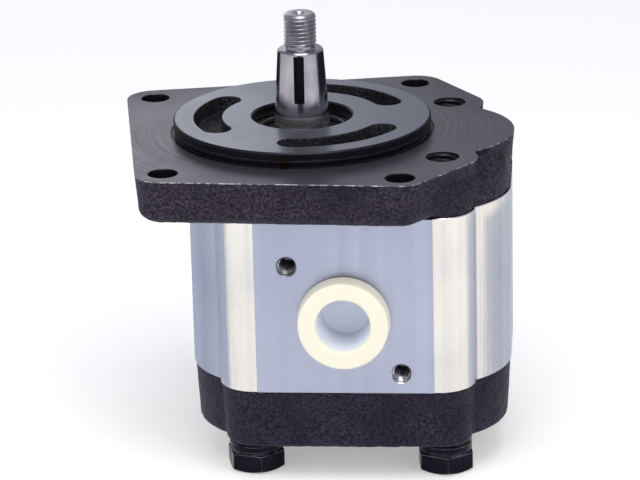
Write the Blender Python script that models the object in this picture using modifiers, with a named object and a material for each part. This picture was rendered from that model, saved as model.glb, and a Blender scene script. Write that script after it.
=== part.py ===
"""Hydraulic gear pump: a cast mounting flange, an extruded aluminium body and a cast rear cover,
clamped by four bolts around two meshing gears that run in bushed bearing blocks.

Lengths are metres, +Z is up. Every piece is placed from a datum on the drive gear's axis, in the plane
of the mounting face. The datum is an empty, set so that the pump stands on its bolt heads at z = 0
with its bounding box centred on the Z axis.
"""

import math

import bmesh
import bpy
from mathutils import Matrix, Vector

MM = 0.001
COLLECTION_NAME = "hydraulic_gear_pump"
SEAM = 0.3 * MM  # gap between two pieces that bear on each other
OVERSHOOT = 2.0 * MM  # how far a cutter runs past the face that it opens

# Gears
GEAR_CENTRES = 30.0 * MM
TOOTH_COUNT = 12
PRESSURE_ANGLE = math.radians(25.0)
ADDENDUM = 2.5 * MM
DEDENDUM = 3.1 * MM
FLANK_THINNING = 0.35 * MM  # taken off each tooth's thickness, for backlash
GEAR_WIDTH = 24.0 * MM
GEAR_MIDDLE_Z = -45.5 * MM
GEAR_ROOT_FILLET = 0.5 * MM
TIP_CLEARANCE = 0.4 * MM
END_CLEARANCE = 0.3 * MM

# Drive shaft
JOURNAL_RADIUS = 8.5 * MM
TAPER_LARGE_RADIUS = 8.325 * MM
TAPER_RATIO = 1 / 8  # diameter per length
TAPER_BASE_Z = 5.8 * MM
TAPER_TOP_Z = 25.9 * MM
TAPER_CHAMFER = 0.35 * MM
NECK_RADIUS = 4.55 * MM
NECK_LENGTH = 1.4 * MM
THREAD_RADIUS = 5.0 * MM
THREAD_LENGTH = 9.7 * MM
THREAD_CHAMFER = 0.8 * MM
CENTRE_DRILL_RADIUS = 1.6 * MM
CENTRE_DRILL_DEPTH = 2.4 * MM
KEYWAY_WIDTH = 3.2 * MM
KEYWAY_LENGTH = 14.7 * MM
KEYWAY_FROM_SHOULDER = 1.0 * MM
KEYWAY_FLOOR = 4.7 * MM  # from the shaft's axis
JOURNAL_CHAMFER = 0.6 * MM
JOURNAL_END_GAP = 0.7 * MM

# Mounting flange
FLANGE_THICKNESS = 13.9 * MM
FLANGE_DRAFT = 0.8 * MM
FLANGE_EDGE_RADIUS = 4.0 * MM
FLANGE_TOP_CHAMFER = 0.3 * MM
MOUNT_HOLE_RADIUS = 4.4 * MM
# Mounting hole centres, each with the radius of the flange corner round it, anticlockwise from
# the front left. The pattern is not symmetric.
MOUNT_CORNERS = (
    (-37.9 * MM, -45.2 * MM, 8.5 * MM),
    (32.7 * MM, -49.2 * MM, 7.7 * MM),
    (32.5 * MM, 49.7 * MM, 8.9 * MM),
    (-49.8 * MM, 33.0 * MM, 9.1 * MM),
)
FLANGE_BOLT_LOBE_RADIUS = 10.7 * MM
FLANGE_SIDE_LOBE_OFFSET_X = 23.1 * MM  # from the body's middle
FLANGE_SIDE_LOBE_RADIUS = 27.5 * MM
FLANGE_VALLEY_RADIUS = 3.0 * MM
FLANGE_SKIRT_INSET = 0.3 * MM
PILOT_RADIUS = 39.7 * MM
PILOT_HEIGHT = 4.6 * MM
PILOT_CHAMFER = 0.5 * MM
PILOT_UNDERCUT = 0.7 * MM
PILOT_UNDERCUT_HEIGHT = 0.9 * MM
KIDNEY_COUNT = 3
KIDNEY_MID_RADIUS = 29.05 * MM
KIDNEY_HALF_WIDTH = 4.3 * MM
KIDNEY_HALF_SPAN = math.radians(40.0)
KIDNEY_FIRST_ANGLE = math.radians(60.0)
KIDNEY_DEPTH = 5.0 * MM
SHAFT_BORE_CLEARANCE = 0.9 * MM

# Shaft seal and its retaining ring
SEAL_BORE_RADIUS = 15.4 * MM
SEAL_HEIGHT = 7.0 * MM
SEAL_TOP_BELOW_PILOT = 5.2 * MM
SEAL_WALL = 1.6 * MM
SEAL_WEB = 1.8 * MM
SEAL_LIP_THICKNESS = 1.2 * MM
SEAL_LIP_HEIGHT = 3.6 * MM
SHAFT_RUNNING_CLEARANCE = 0.3 * MM
FIT_CLEARANCE = 0.25 * MM
CIRCLIP_THICKNESS = 1.2 * MM
CIRCLIP_GROOVE_DEPTH = 1.1 * MM
CIRCLIP_RADIAL_WIDTH = 3.0 * MM
CIRCLIP_GAP_ANGLE = math.radians(34.0)
CIRCLIP_LUG_ANGLE = math.radians(13.0)
CIRCLIP_LUG_RADIUS = 2.3 * MM
CIRCLIP_LUG_FLANK_ANGLE = 0.05
CIRCLIP_HOLE_RADIUS = 0.9 * MM
CIRCLIP_GAP_DIRECTION = math.radians(-35.0)

# Pump body, an extrusion symmetric about the plane midway between the gears
BODY_LENGTH = 55.7 * MM
BODY_HALF_DEPTH = 45.0 * MM
BODY_PAD_HALF_WIDTH = 26.85 * MM
BODY_PAD_HEIGHT = 0.4 * MM
BODY_CORNER_X = 28.0 * MM
BODY_CORNER_RADIUS = 11.1 * MM
BODY_FLANK_X = 22.0 * MM
BODY_FLANK_Y = 12.0 * MM
BODY_FLANK_RADIUS = 27.4 * MM
BODY_VALLEY_RADIUS = 1.6 * MM

# Rear cover
COVER_THICKNESS = 18.5 * MM
COVER_INSET = 0.4 * MM
COVER_DRAFT = 0.8 * MM
COVER_EDGE_RADIUS = 1.6 * MM
SPOT_FACE_DEPTH = 0.7 * MM
SPOT_FACE_RADIUS_LEFT = 9.6 * MM
SPOT_FACE_RADIUS_RIGHT = 19.5 * MM

# Body bolts and washers
BOLT_HALF_SPACING_X = 29.35 * MM
BOLT_HALF_SPACING_Y = 28.5 * MM
BOLT_RADIUS = 4.7 * MM
BOLT_HOLE_RADIUS = 5.3 * MM
BOLT_TAP_RADIUS = 4.45 * MM
BOLT_END_Z = -5.0 * MM
BOLT_END_CHAMFER = 0.8 * MM
BOLT_HEAD_HEIGHT = 6.0 * MM
BOLT_ACROSS_FLATS = 16.0 * MM
BOLT_HEAD_CHAMFER_ANGLE = math.radians(30.0)
SPRING_WASHER_THICKNESS = 2.6 * MM
SPRING_WASHER_GAP = 2.0 * MM
PLAIN_WASHER_THICKNESS = 2.5 * MM
WASHER_INNER_RADIUS = 5.3 * MM
WASHER_OUTER_RADIUS = 8.1 * MM
# Each bolt: side in X, side in Y, turn of its head and of its spring washer's gap, in degrees.
BOLTS = (
    ("front_left", -1, -1, -75.0, 20.0),
    ("front_right", 1, -1, -83.0, 200.0),
    ("back_right", 1, 1, 12.0, 100.0),
    ("back_left", -1, 1, 41.0, 310.0),
)

# Ports, one in each flat side of the body
PORT_Z = -46.4 * MM
PORT_FIXING_OFFSET = 17.0 * MM
PORT_FIXING_RADIUS = 2.5 * MM
PORT_FIXING_CHAMFER = 0.6 * MM
PORT_FIXING_DEPTH = 12.0 * MM
PORT_STEP_DEPTH = 13.0 * MM
OUTLET_STEP_RADIUS = 10.2 * MM
OUTLET_PASSAGE_RADIUS = 7.0 * MM
INLET_STEP_RADIUS = 12.2 * MM
INLET_PASSAGE_RADIUS = 9.0 * MM

# Shipping plugs, pushed into the ports
PLUG_WALL = 1.7 * MM
PLUG_RIM_HEIGHT = 5.5 * MM
PLUG_RIM_WIDTH = 3.9 * MM
PLUG_RIM_ROUND = 1.2 * MM
PLUG_RIM_DRAFT = 0.5 * MM
PLUG_END_WALL = 1.5 * MM
PLUG_LENGTH_IN_PORT = 10.0 * MM

# Bearing blocks, bushes, seals and dowels
BUSH_WALL = 1.4 * MM
BUSH_END_SETBACK = 0.5 * MM
BLOCK_SIDE_CLEARANCE = 0.3 * MM
PRESSURE_SEAL_LAND = 2.25 * MM  # metal between a bush's bore and the seal's groove
PRESSURE_SEAL_OPEN_ANGLE = math.radians(120.0)
PRESSURE_SEAL_JOIN_ANGLE = math.radians(-28.0)
PRESSURE_SEAL_WIDTH = 2.0 * MM
PRESSURE_SEAL_HEIGHT = 1.5 * MM
BODY_SEAL_LAND = 1.7 * MM  # metal between the gear chamber and the seal's groove
BODY_SEAL_WIDTH = 2.0 * MM
BODY_SEAL_HEIGHT = 1.7 * MM
GROOVE_CLEARANCE = 0.3 * MM
DOWEL_RADIUS = 2.0 * MM
DOWEL_LENGTH = 9.0 * MM
DOWEL_OFFSET_X = 18.0 * MM
DOWEL_OFFSET_Y = 37.3 * MM
DOWEL_CLEARANCE = 0.25 * MM

# Worked out from the sizes above
BODY_CENTRE_X = GEAR_CENTRES / 2
BODY_TOP_Z = -FLANGE_THICKNESS - SEAM
BODY_BOTTOM_Z = BODY_TOP_Z - BODY_LENGTH
COVER_TOP_Z = BODY_BOTTOM_Z - SEAM
COVER_BOTTOM_Z = COVER_TOP_Z - COVER_THICKNESS
GEAR_TOP_Z = GEAR_MIDDLE_Z + GEAR_WIDTH / 2
GEAR_BOTTOM_Z = GEAR_MIDDLE_Z - GEAR_WIDTH / 2
PITCH_RADIUS = GEAR_CENTRES / 2
TIP_RADIUS = PITCH_RADIUS + ADDENDUM
ROOT_RADIUS = PITCH_RADIUS - DEDENDUM
BASE_RADIUS = PITCH_RADIUS * math.cos(PRESSURE_ANGLE)
CHAMBER_RADIUS = TIP_RADIUS + TIP_CLEARANCE
BLOCK_RADIUS = CHAMBER_RADIUS - BLOCK_SIDE_CLEARANCE
BUSH_INNER_RADIUS = JOURNAL_RADIUS + SHAFT_RUNNING_CLEARANCE
BUSH_OUTER_RADIUS = BUSH_INNER_RADIUS + BUSH_WALL
BLOCK_BORE_RADIUS = BUSH_OUTER_RADIUS + FIT_CLEARANCE
SHAFT_BORE_RADIUS = JOURNAL_RADIUS + SHAFT_BORE_CLEARANCE
PRESSURE_SEAL_RADIUS = BLOCK_BORE_RADIUS + PRESSURE_SEAL_LAND + GROOVE_CLEARANCE + PRESSURE_SEAL_WIDTH / 2
BODY_SEAL_RADIUS = CHAMBER_RADIUS + BODY_SEAL_LAND + GROOVE_CLEARANCE + BODY_SEAL_WIDTH / 2
SEAL_TOP_Z = PILOT_HEIGHT - SEAL_TOP_BELOW_PILOT
SEAL_BOTTOM_Z = SEAL_TOP_Z - SEAL_HEIGHT
CIRCLIP_BOTTOM_Z = SEAL_TOP_Z + SEAM
BOLT_HEAD_RADIUS = BOLT_ACROSS_FLATS / 2 / math.cos(math.pi / 6)
BOLT_SEAT_Z = COVER_BOTTOM_Z + SPOT_FACE_DEPTH
SPRING_WASHER_TOP_Z = BOLT_SEAT_Z - SEAM
PLAIN_WASHER_TOP_Z = SPRING_WASHER_TOP_Z - SPRING_WASHER_THICKNESS - SEAM
BOLT_HEAD_TOP_Z = PLAIN_WASHER_TOP_Z - PLAIN_WASHER_THICKNESS - SEAM
BOLT_HEAD_BOTTOM_Z = BOLT_HEAD_TOP_Z - BOLT_HEAD_HEIGHT
THREAD_BASE_Z = TAPER_TOP_Z + NECK_LENGTH
SHAFT_TIP_Z = THREAD_BASE_Z + THREAD_LENGTH
AXIS_X = {"drive": 0.0, "driven": GEAR_CENTRES}

BORE_SEGMENTS = 24
SMALL_SEGMENTS = 16
PIN_SEGMENTS = 10
ARC_STEP = math.radians(15)
END_STEP = math.radians(45)

STEEL = ((0.42, 0.42, 0.45), 0.3, 1.0)
BLACK_STEEL = ((0.03, 0.03, 0.04), 0.45, 0.6)
CAST_IRON = ((0.06, 0.05, 0.07), 0.7, 0.3)
ALUMINIUM = ((0.62, 0.64, 0.72), 0.35, 1.0)
BRONZE = ((0.45, 0.27, 0.12), 0.35, 1.0)
RUBBER = ((0.02, 0.02, 0.02), 0.6, 0.0)
PLASTIC = ((0.9, 0.87, 0.74), 0.4, 0.0)


# Scene and object helpers


def clear_scene():
    for obj in list(bpy.data.objects):
        bpy.data.objects.remove(obj, do_unlink=True)


def make_collection(name, hidden=False):
    collection = bpy.data.collections.new(name)
    collection.hide_render = hidden
    bpy.context.scene.collection.children.link(collection)
    return collection


def make_material(name, look):
    color, roughness, metallic = look
    material = bpy.data.materials.new(name)
    material.use_nodes = True
    shader = material.node_tree.nodes["Principled BSDF"]
    shader.inputs["Base Color"].default_value = (*color, 1.0)
    shader.inputs["Roughness"].default_value = roughness
    shader.inputs["Metallic"].default_value = metallic
    material.diffuse_color = (*color, 1.0)
    return material


class Builder:
    """Holds the datum and the two collections, and files each object under them."""

    def __init__(self):
        self.parts = make_collection(COLLECTION_NAME)
        self.cutters = make_collection("cutters", hidden=True)
        self.datum = bpy.data.objects.new("datum", None)
        self.parts.objects.link(self.datum)

    def _link(self, obj, collection):
        collection.objects.link(obj)
        obj.parent = self.datum

    def part(self, name, mesh, look, location=(0.0, 0.0, 0.0)):
        obj = bpy.data.objects.new(name, mesh)
        obj.location = location
        self._link(obj, self.parts)
        mesh.name = name
        mesh.materials.append(make_material(name, look))
        mesh.shade_smooth()
        mesh.set_sharp_from_angle(angle=math.radians(35))
        return obj

    def tool(self, name, mesh, location=(0.0, 0.0, 0.0)):
        """A hidden object that a Boolean modifier takes away from a part or joins to it."""
        obj = bpy.data.objects.new(name, mesh)
        obj.location = location
        obj.hide_render = True
        obj.display_type = "WIRE"
        self._link(obj, self.cutters)
        return obj


def combine(target, tool, operation="DIFFERENCE"):
    modifier = target.modifiers.new(f"{operation.lower()} {tool.name}", "BOOLEAN")
    modifier.operation = operation
    modifier.solver = "EXACT"
    modifier.object = tool


# Outlines: lists of (x, y) points, anticlockwise


def arc_points(centre, radius, start, end, step=ARC_STEP):
    count = max(1, math.ceil(abs(end - start) / step - 1e-6))
    angles = [start + (end - start) * i / count for i in range(count + 1)]
    return [(centre[0] + radius * math.cos(a), centre[1] + radius * math.sin(a)) for a in angles]


def valley_circle(first, second, radius):
    """The concave fillet circle that touches two round lobes, on the right of the way between them."""
    (x1, y1, r1), (x2, y2, r2) = first, second
    a = r1 + radius
    b = r2 + radius
    distance = math.hypot(x2 - x1, y2 - y1)
    along = (a * a - b * b + distance * distance) / (2 * distance)
    out = math.sqrt(a * a - along * along)
    ux = (x2 - x1) / distance
    uy = (y2 - y1) / distance
    return (x1 + along * ux + out * uy, y1 + along * uy - out * ux, -radius)


def rounded_outline(circles, inset=0.0, step=ARC_STEP):
    """The outline that runs round each circle (x, y, radius) and straight from one to the next. A
    negative radius is a concave arc. The inset moves the whole outline inwards, and keeps the number
    of points, so outlines of one set of circles can be lofted."""
    count = len(circles)
    normals = []
    for i, (x1, y1, r1) in enumerate(circles):
        x2, y2, r2 = circles[(i + 1) % count]
        distance = math.hypot(x2 - x1, y2 - y1)
        lean = math.acos(max(-1.0, min(1.0, (r1 - r2) / distance)))
        normals.append(math.atan2(y2 - y1, x2 - x1) - lean)
    points = []
    for i, (x, y, radius) in enumerate(circles):
        start = normals[i - 1]
        turn = (normals[i] - start + math.pi) % math.tau - math.pi
        points += arc_points((x, y), radius - inset, start, start + turn, step)
    return points


def circle_outline(radius, centre=(0.0, 0.0), segments=SMALL_SEGMENTS):
    return arc_points(centre, radius, 0.0, math.tau, math.tau / segments)[:-1]


def figure_eight_outline(radius):
    """Two overlapping circles, one round each gear axis, as one outline."""
    waist = math.acos(GEAR_CENTRES / 2 / radius)
    left = arc_points((0.0, 0.0), radius, waist, math.tau - waist)
    right = arc_points((GEAR_CENTRES, 0.0), radius, math.pi + waist, 3 * math.pi - waist)
    return left[:-1] + right[:-1]


def slot_outline(mid_radius, half_width, middle, half_span):
    """A slot bent round the origin. The span is measured to the tips of its round ends."""
    reach = half_span - half_width / mid_radius
    first = middle - reach
    last = middle + reach
    end = (mid_radius * math.cos(last), mid_radius * math.sin(last))
    start = (mid_radius * math.cos(first), mid_radius * math.sin(first))
    outer = arc_points((0.0, 0.0), mid_radius + half_width, first, last)
    inner = arc_points((0.0, 0.0), mid_radius - half_width, last, first)
    far_end = arc_points(end, half_width, last, last + math.pi, END_STEP)
    near_end = arc_points(start, half_width, first - math.pi, first, END_STEP)
    return outer + far_end[1:-1] + inner + near_end[1:-1]


def body_circles():
    """The circles of the body's outline, anticlockwise from the front right corner."""
    corner_y = BODY_HALF_DEPTH - BODY_PAD_HEIGHT - BODY_CORNER_RADIUS
    corner = (BODY_CORNER_X, -corner_y, BODY_CORNER_RADIUS)
    flank = (BODY_FLANK_X, -BODY_FLANK_Y, BODY_FLANK_RADIUS)
    front_right = [corner, valley_circle(corner, flank, BODY_VALLEY_RADIUS), flank]
    back_right = [(x, -y, r) for x, y, r in reversed(front_right)]
    right = front_right + back_right
    left = [(-x, -y, r) for x, y, r in right]
    return [(BODY_CENTRE_X + x, y, r) for x, y, r in right + left]


def flange_circles():
    """The circles of the mounting face's outline, anticlockwise from the front left corner."""
    front_left, front_right, back_right, back_left = MOUNT_CORNERS
    bolt_x = BODY_CENTRE_X + BOLT_HALF_SPACING_X
    front_lobe = (bolt_x, -BOLT_HALF_SPACING_Y, FLANGE_BOLT_LOBE_RADIUS)
    side_lobe = (BODY_CENTRE_X + FLANGE_SIDE_LOBE_OFFSET_X, 0.0, FLANGE_SIDE_LOBE_RADIUS)
    back_lobe = (bolt_x, BOLT_HALF_SPACING_Y, FLANGE_BOLT_LOBE_RADIUS)
    front_valley = valley_circle(front_lobe, side_lobe, FLANGE_VALLEY_RADIUS)
    back_valley = valley_circle(side_lobe, back_lobe, FLANGE_VALLEY_RADIUS)
    side = [front_lobe, front_valley, side_lobe, back_valley, back_lobe]
    return [front_left, front_right, *side, back_right, back_left]


# Meshes


def plate_mesh(outlines, bottom, top):
    """A flat plate: the first outline is its edge, and any others are holes through it."""
    curve = bpy.data.curves.new("plate", "CURVE")
    curve.dimensions = "2D"
    curve.fill_mode = "BOTH"
    curve.extrude = (top - bottom) / 2
    for outline in outlines:
        spline = curve.splines.new("POLY")
        spline.points.add(len(outline) - 1)
        for point, (x, y) in zip(spline.points, outline):
            point.co = (x, y, 0.0, 1.0)
        spline.use_cyclic_u = True
    mesh = mesh_of_curve(curve)
    mesh.transform(Matrix.Translation((0.0, 0.0, (top + bottom) / 2)))
    return mesh


def mesh_of_curve(curve):
    """The curve's surface as a mesh, with its loose caps welded on."""
    holder = bpy.data.objects.new("curve", curve)
    bpy.context.scene.collection.objects.link(holder)
    graph = bpy.context.evaluated_depsgraph_get()
    mesh = bpy.data.meshes.new_from_object(holder.evaluated_get(graph))
    bpy.data.objects.remove(holder, do_unlink=True)
    bpy.data.curves.remove(curve)
    shape = bmesh.new()
    shape.from_mesh(mesh)
    bmesh.ops.remove_doubles(shape, verts=shape.verts, dist=1e-6)
    bmesh.ops.recalc_face_normals(shape, faces=shape.faces)
    shape.to_mesh(mesh)
    shape.free()
    return mesh


def lofted_mesh(sections):
    """A closed shape through sections of (z, outline), bottom to top, that all have as many points."""
    shape = bmesh.new()
    rings = [[shape.verts.new((x, y, z)) for x, y in outline] for z, outline in sections]
    count = len(rings[0])
    for lower, upper in zip(rings, rings[1:]):
        for i in range(count):
            j = (i + 1) % count
            shape.faces.new((lower[i], lower[j], upper[j], upper[i]))
    shape.faces.new(list(reversed(rings[0])))
    shape.faces.new(rings[-1])
    mesh = bpy.data.meshes.new("loft")
    shape.to_mesh(mesh)
    shape.free()
    return mesh


def turned_mesh(profile, segments, closed=False):
    """The profile of (radius, z), turned about Z. It runs down its outer side. A closed profile makes a
    ring, and an open one starts and ends on the axis."""
    guide = bpy.data.meshes.new("profile")
    points = [(radius, 0.0, z) for radius, z in profile]
    edges = [(i, i + 1) for i in range(len(points) - 1)]
    if closed:
        edges.append((len(points) - 1, 0))
    guide.from_pydata(points, edges, [])
    holder = bpy.data.objects.new("profile", guide)
    bpy.context.scene.collection.objects.link(holder)
    screw = holder.modifiers.new("turn", "SCREW")
    screw.axis = "Z"
    screw.angle = math.tau
    screw.steps = segments
    screw.render_steps = segments
    screw.use_merge_vertices = True
    screw.merge_threshold = 1e-6
    graph = bpy.context.evaluated_depsgraph_get()
    mesh = bpy.data.meshes.new_from_object(holder.evaluated_get(graph))
    bpy.data.objects.remove(holder, do_unlink=True)
    bpy.data.meshes.remove(guide)
    shape = bmesh.new()
    shape.from_mesh(mesh)
    bmesh.ops.remove_doubles(shape, verts=shape.verts, dist=1e-6)
    bmesh.ops.recalc_face_normals(shape, faces=shape.faces)
    shape.to_mesh(mesh)
    shape.free()
    return mesh


def cylinder_mesh(radius, bottom, top, segments=SMALL_SEGMENTS):
    shape = bmesh.new()
    middle = Matrix.Translation((0.0, 0.0, (top + bottom) / 2))
    bmesh.ops.create_cone(
        shape,
        cap_ends=True,
        segments=segments,
        radius1=radius,
        radius2=radius,
        depth=top - bottom,
        matrix=middle,
    )
    mesh = bpy.data.meshes.new("cylinder")
    shape.to_mesh(mesh)
    shape.free()
    return mesh


def box_mesh(low, high):
    shape = bmesh.new()
    bmesh.ops.create_cube(shape, size=1.0)
    size = Vector(high) - Vector(low)
    bmesh.ops.scale(shape, vec=size, verts=shape.verts)
    bmesh.ops.translate(shape, vec=(Vector(high) + Vector(low)) / 2, verts=shape.verts)
    mesh = bpy.data.meshes.new("box")
    shape.to_mesh(mesh)
    shape.free()
    return mesh


def strip_mesh(points, width, bottom, top, cyclic):
    """A strip of rectangular section that follows points (x, y) at its middle."""
    curve = bpy.data.curves.new("strip", "CURVE")
    curve.dimensions = "3D"
    curve.extrude = (top - bottom) / 2
    spline = curve.splines.new("POLY")
    spline.points.add(len(points) - 1)
    for point, (x, y) in zip(spline.points, points):
        point.co = (x, y, (top + bottom) / 2, 1.0)
    spline.use_cyclic_u = cyclic
    ribbon = mesh_of_curve(curve)
    holder = bpy.data.objects.new("strip", ribbon)
    bpy.context.scene.collection.objects.link(holder)
    solidify = holder.modifiers.new("width", "SOLIDIFY")
    solidify.thickness = width
    solidify.offset = 0.0
    solidify.use_even_offset = True
    graph = bpy.context.evaluated_depsgraph_get()
    mesh = bpy.data.meshes.new_from_object(holder.evaluated_get(graph))
    bpy.data.objects.remove(holder, do_unlink=True)
    bpy.data.meshes.remove(ribbon)
    shape = bmesh.new()
    shape.from_mesh(mesh)
    bmesh.ops.recalc_face_normals(shape, faces=shape.faces)
    shape.to_mesh(mesh)
    shape.free()
    return mesh


# Gears


def involute_offset(radius):
    """The angle through which an involute flank has turned at this radius, from its base circle."""
    if radius <= BASE_RADIUS:
        return 0.0
    roll = math.sqrt((radius / BASE_RADIUS) ** 2 - 1)
    return roll - math.atan(roll)


def gear_outline(first_tooth):
    """A spur gear's outline with involute flanks. The first tooth's middle is at this angle."""
    pitch_half = (math.pi * PITCH_RADIUS / TOOTH_COUNT - FLANK_THINNING) / 2 / PITCH_RADIUS
    base_half = pitch_half + involute_offset(PITCH_RADIUS)
    flank_steps = 2
    flank_start = max(BASE_RADIUS, ROOT_RADIUS + GEAR_ROOT_FILLET)
    radii = [flank_start + (TIP_RADIUS - flank_start) * i / flank_steps for i in range(flank_steps + 1)]
    root_half = base_half + GEAR_ROOT_FILLET / ROOT_RADIUS
    flank = [(ROOT_RADIUS, root_half), (ROOT_RADIUS + GEAR_ROOT_FILLET, base_half)]
    flank += [(radius, base_half - involute_offset(radius)) for radius in radii]
    outline = []
    for tooth in range(TOOTH_COUNT):
        middle = first_tooth + math.tau * tooth / TOOTH_COUNT
        rising = [(radius, middle - half) for radius, half in flank]
        falling = [(radius, middle + half) for radius, half in reversed(flank)]
        outline += [(r * math.cos(a), r * math.sin(a)) for r, a in rising + falling]
    return outline


def drive_shaft_profile():
    taper_top_radius = TAPER_LARGE_RADIUS - (TAPER_TOP_Z - TAPER_BASE_Z) * TAPER_RATIO / 2
    shoulder_step = JOURNAL_RADIUS - TAPER_LARGE_RADIUS
    return [
        (0.0, SHAFT_TIP_Z - CENTRE_DRILL_DEPTH),
        (CENTRE_DRILL_RADIUS, SHAFT_TIP_Z),
        (THREAD_RADIUS - THREAD_CHAMFER, SHAFT_TIP_Z),
        (THREAD_RADIUS, SHAFT_TIP_Z - THREAD_CHAMFER),
        (THREAD_RADIUS, THREAD_BASE_Z),
        (NECK_RADIUS, THREAD_BASE_Z - (THREAD_RADIUS - NECK_RADIUS)),
        (NECK_RADIUS, TAPER_TOP_Z),
        (taper_top_radius - TAPER_CHAMFER, TAPER_TOP_Z),
        (taper_top_radius, TAPER_TOP_Z - TAPER_CHAMFER),
        (TAPER_LARGE_RADIUS, TAPER_BASE_Z),
        (JOURNAL_RADIUS, TAPER_BASE_Z - shoulder_step),
        *journal_end(),
    ]


def driven_shaft_profile():
    top = BODY_TOP_Z - JOURNAL_END_GAP
    return [
        (0.0, top),
        (JOURNAL_RADIUS - JOURNAL_CHAMFER, top),
        (JOURNAL_RADIUS, top - JOURNAL_CHAMFER),
        *journal_end(),
    ]


def journal_end():
    """The lower end of either shaft, down to the axis."""
    bottom = BODY_BOTTOM_Z + JOURNAL_END_GAP
    return [
        (JOURNAL_RADIUS, bottom + JOURNAL_CHAMFER),
        (JOURNAL_RADIUS - JOURNAL_CHAMFER, bottom),
        (0.0, bottom),
    ]


def build_gear(builder, name, axis, profile, first_tooth):
    """A shaft and its gear, in one piece, with its origin on its axis."""
    location = (AXIS_X[axis], 0.0, 0.0)
    shaft = builder.part(name, turned_mesh(profile, BORE_SEGMENTS), STEEL, location)
    teeth = plate_mesh([gear_outline(first_tooth)], GEAR_BOTTOM_Z, GEAR_TOP_Z)
    combine(shaft, builder.tool(f"{name}_teeth", teeth, location), "UNION")
    return shaft


def build_gears(builder):
    drive = build_gear(builder, "drive_gear_shaft", "drive", drive_shaft_profile(), 0.0)
    top = TAPER_TOP_Z - KEYWAY_FROM_SHOULDER
    keyway = box_mesh(
        (-KEYWAY_WIDTH / 2, -JOURNAL_RADIUS - OVERSHOOT, top - KEYWAY_LENGTH),
        (KEYWAY_WIDTH / 2, -KEYWAY_FLOOR, top),
    )
    combine(drive, builder.tool("keyway_cutter", keyway))
    half_pitch = math.pi / TOOTH_COUNT
    build_gear(builder, "driven_gear_shaft", "driven", driven_shaft_profile(), half_pitch)


# Castings and body


def rounded_edge_sections(circles, bottom, height, inset, draft, radius, steps=2):
    """Sections of a drafted wall whose lower edge is rounded, from the bottom up to the wall's top."""
    lower_inset = inset + draft
    sections = []
    for i in range(steps):
        angle = math.pi / 2 * i / steps
        edge_inset = lower_inset + radius * (1 - math.sin(angle))
        z = bottom + radius * (1 - math.cos(angle))
        sections.append((z, rounded_outline(circles, edge_inset)))
    sections.append((bottom + radius, rounded_outline(circles, lower_inset)))
    sections.append((bottom + height, rounded_outline(circles, inset)))
    return sections


def bolt_position(side_x, side_y):
    return (BODY_CENTRE_X + side_x * BOLT_HALF_SPACING_X, side_y * BOLT_HALF_SPACING_Y)


def dowel_positions():
    return [(BODY_CENTRE_X + s * DOWEL_OFFSET_X, s * DOWEL_OFFSET_Y) for s in (-1, 1)]


def pilot_profile():
    base = -FLANGE_THICKNESS / 2
    neck = PILOT_RADIUS - PILOT_UNDERCUT
    return [
        (0.0, PILOT_HEIGHT),
        (PILOT_RADIUS - PILOT_CHAMFER, PILOT_HEIGHT),
        (PILOT_RADIUS, PILOT_HEIGHT - PILOT_CHAMFER),
        (PILOT_RADIUS, PILOT_UNDERCUT_HEIGHT + PILOT_UNDERCUT / 2),
        (neck, PILOT_UNDERCUT_HEIGHT),
        (neck, base),
        (0.0, base),
    ]


def seal_bore_profile():
    groove_top = CIRCLIP_BOTTOM_Z + CIRCLIP_THICKNESS + SEAM
    groove_radius = SEAL_BORE_RADIUS + CIRCLIP_GROOVE_DEPTH
    return [
        (0.0, PILOT_HEIGHT + OVERSHOOT),
        (SEAL_BORE_RADIUS, PILOT_HEIGHT + OVERSHOOT),
        (SEAL_BORE_RADIUS, groove_top),
        (groove_radius, groove_top),
        (groove_radius, SEAL_TOP_Z),
        (SEAL_BORE_RADIUS, SEAL_TOP_Z),
        (SEAL_BORE_RADIUS, SEAL_BOTTOM_Z - SEAM),
        (SHAFT_BORE_RADIUS, SEAL_BOTTOM_Z - SEAM),
        (SHAFT_BORE_RADIUS, -FLANGE_THICKNESS - OVERSHOOT),
        (0.0, -FLANGE_THICKNESS - OVERSHOOT),
    ]


def tapped_hole_profile(top):
    """A hole for a body bolt's end: full size round the bolt, and the tap's size above it."""
    step = BOLT_END_Z + SEAM
    size = BOLT_RADIUS + SEAM
    bottom = -FLANGE_THICKNESS - OVERSHOOT
    return [
        (0.0, top),
        (BOLT_TAP_RADIUS, top),
        (BOLT_TAP_RADIUS, step + SEAM),
        (size, step),
        (size, bottom),
        (0.0, bottom),
    ]


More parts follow.
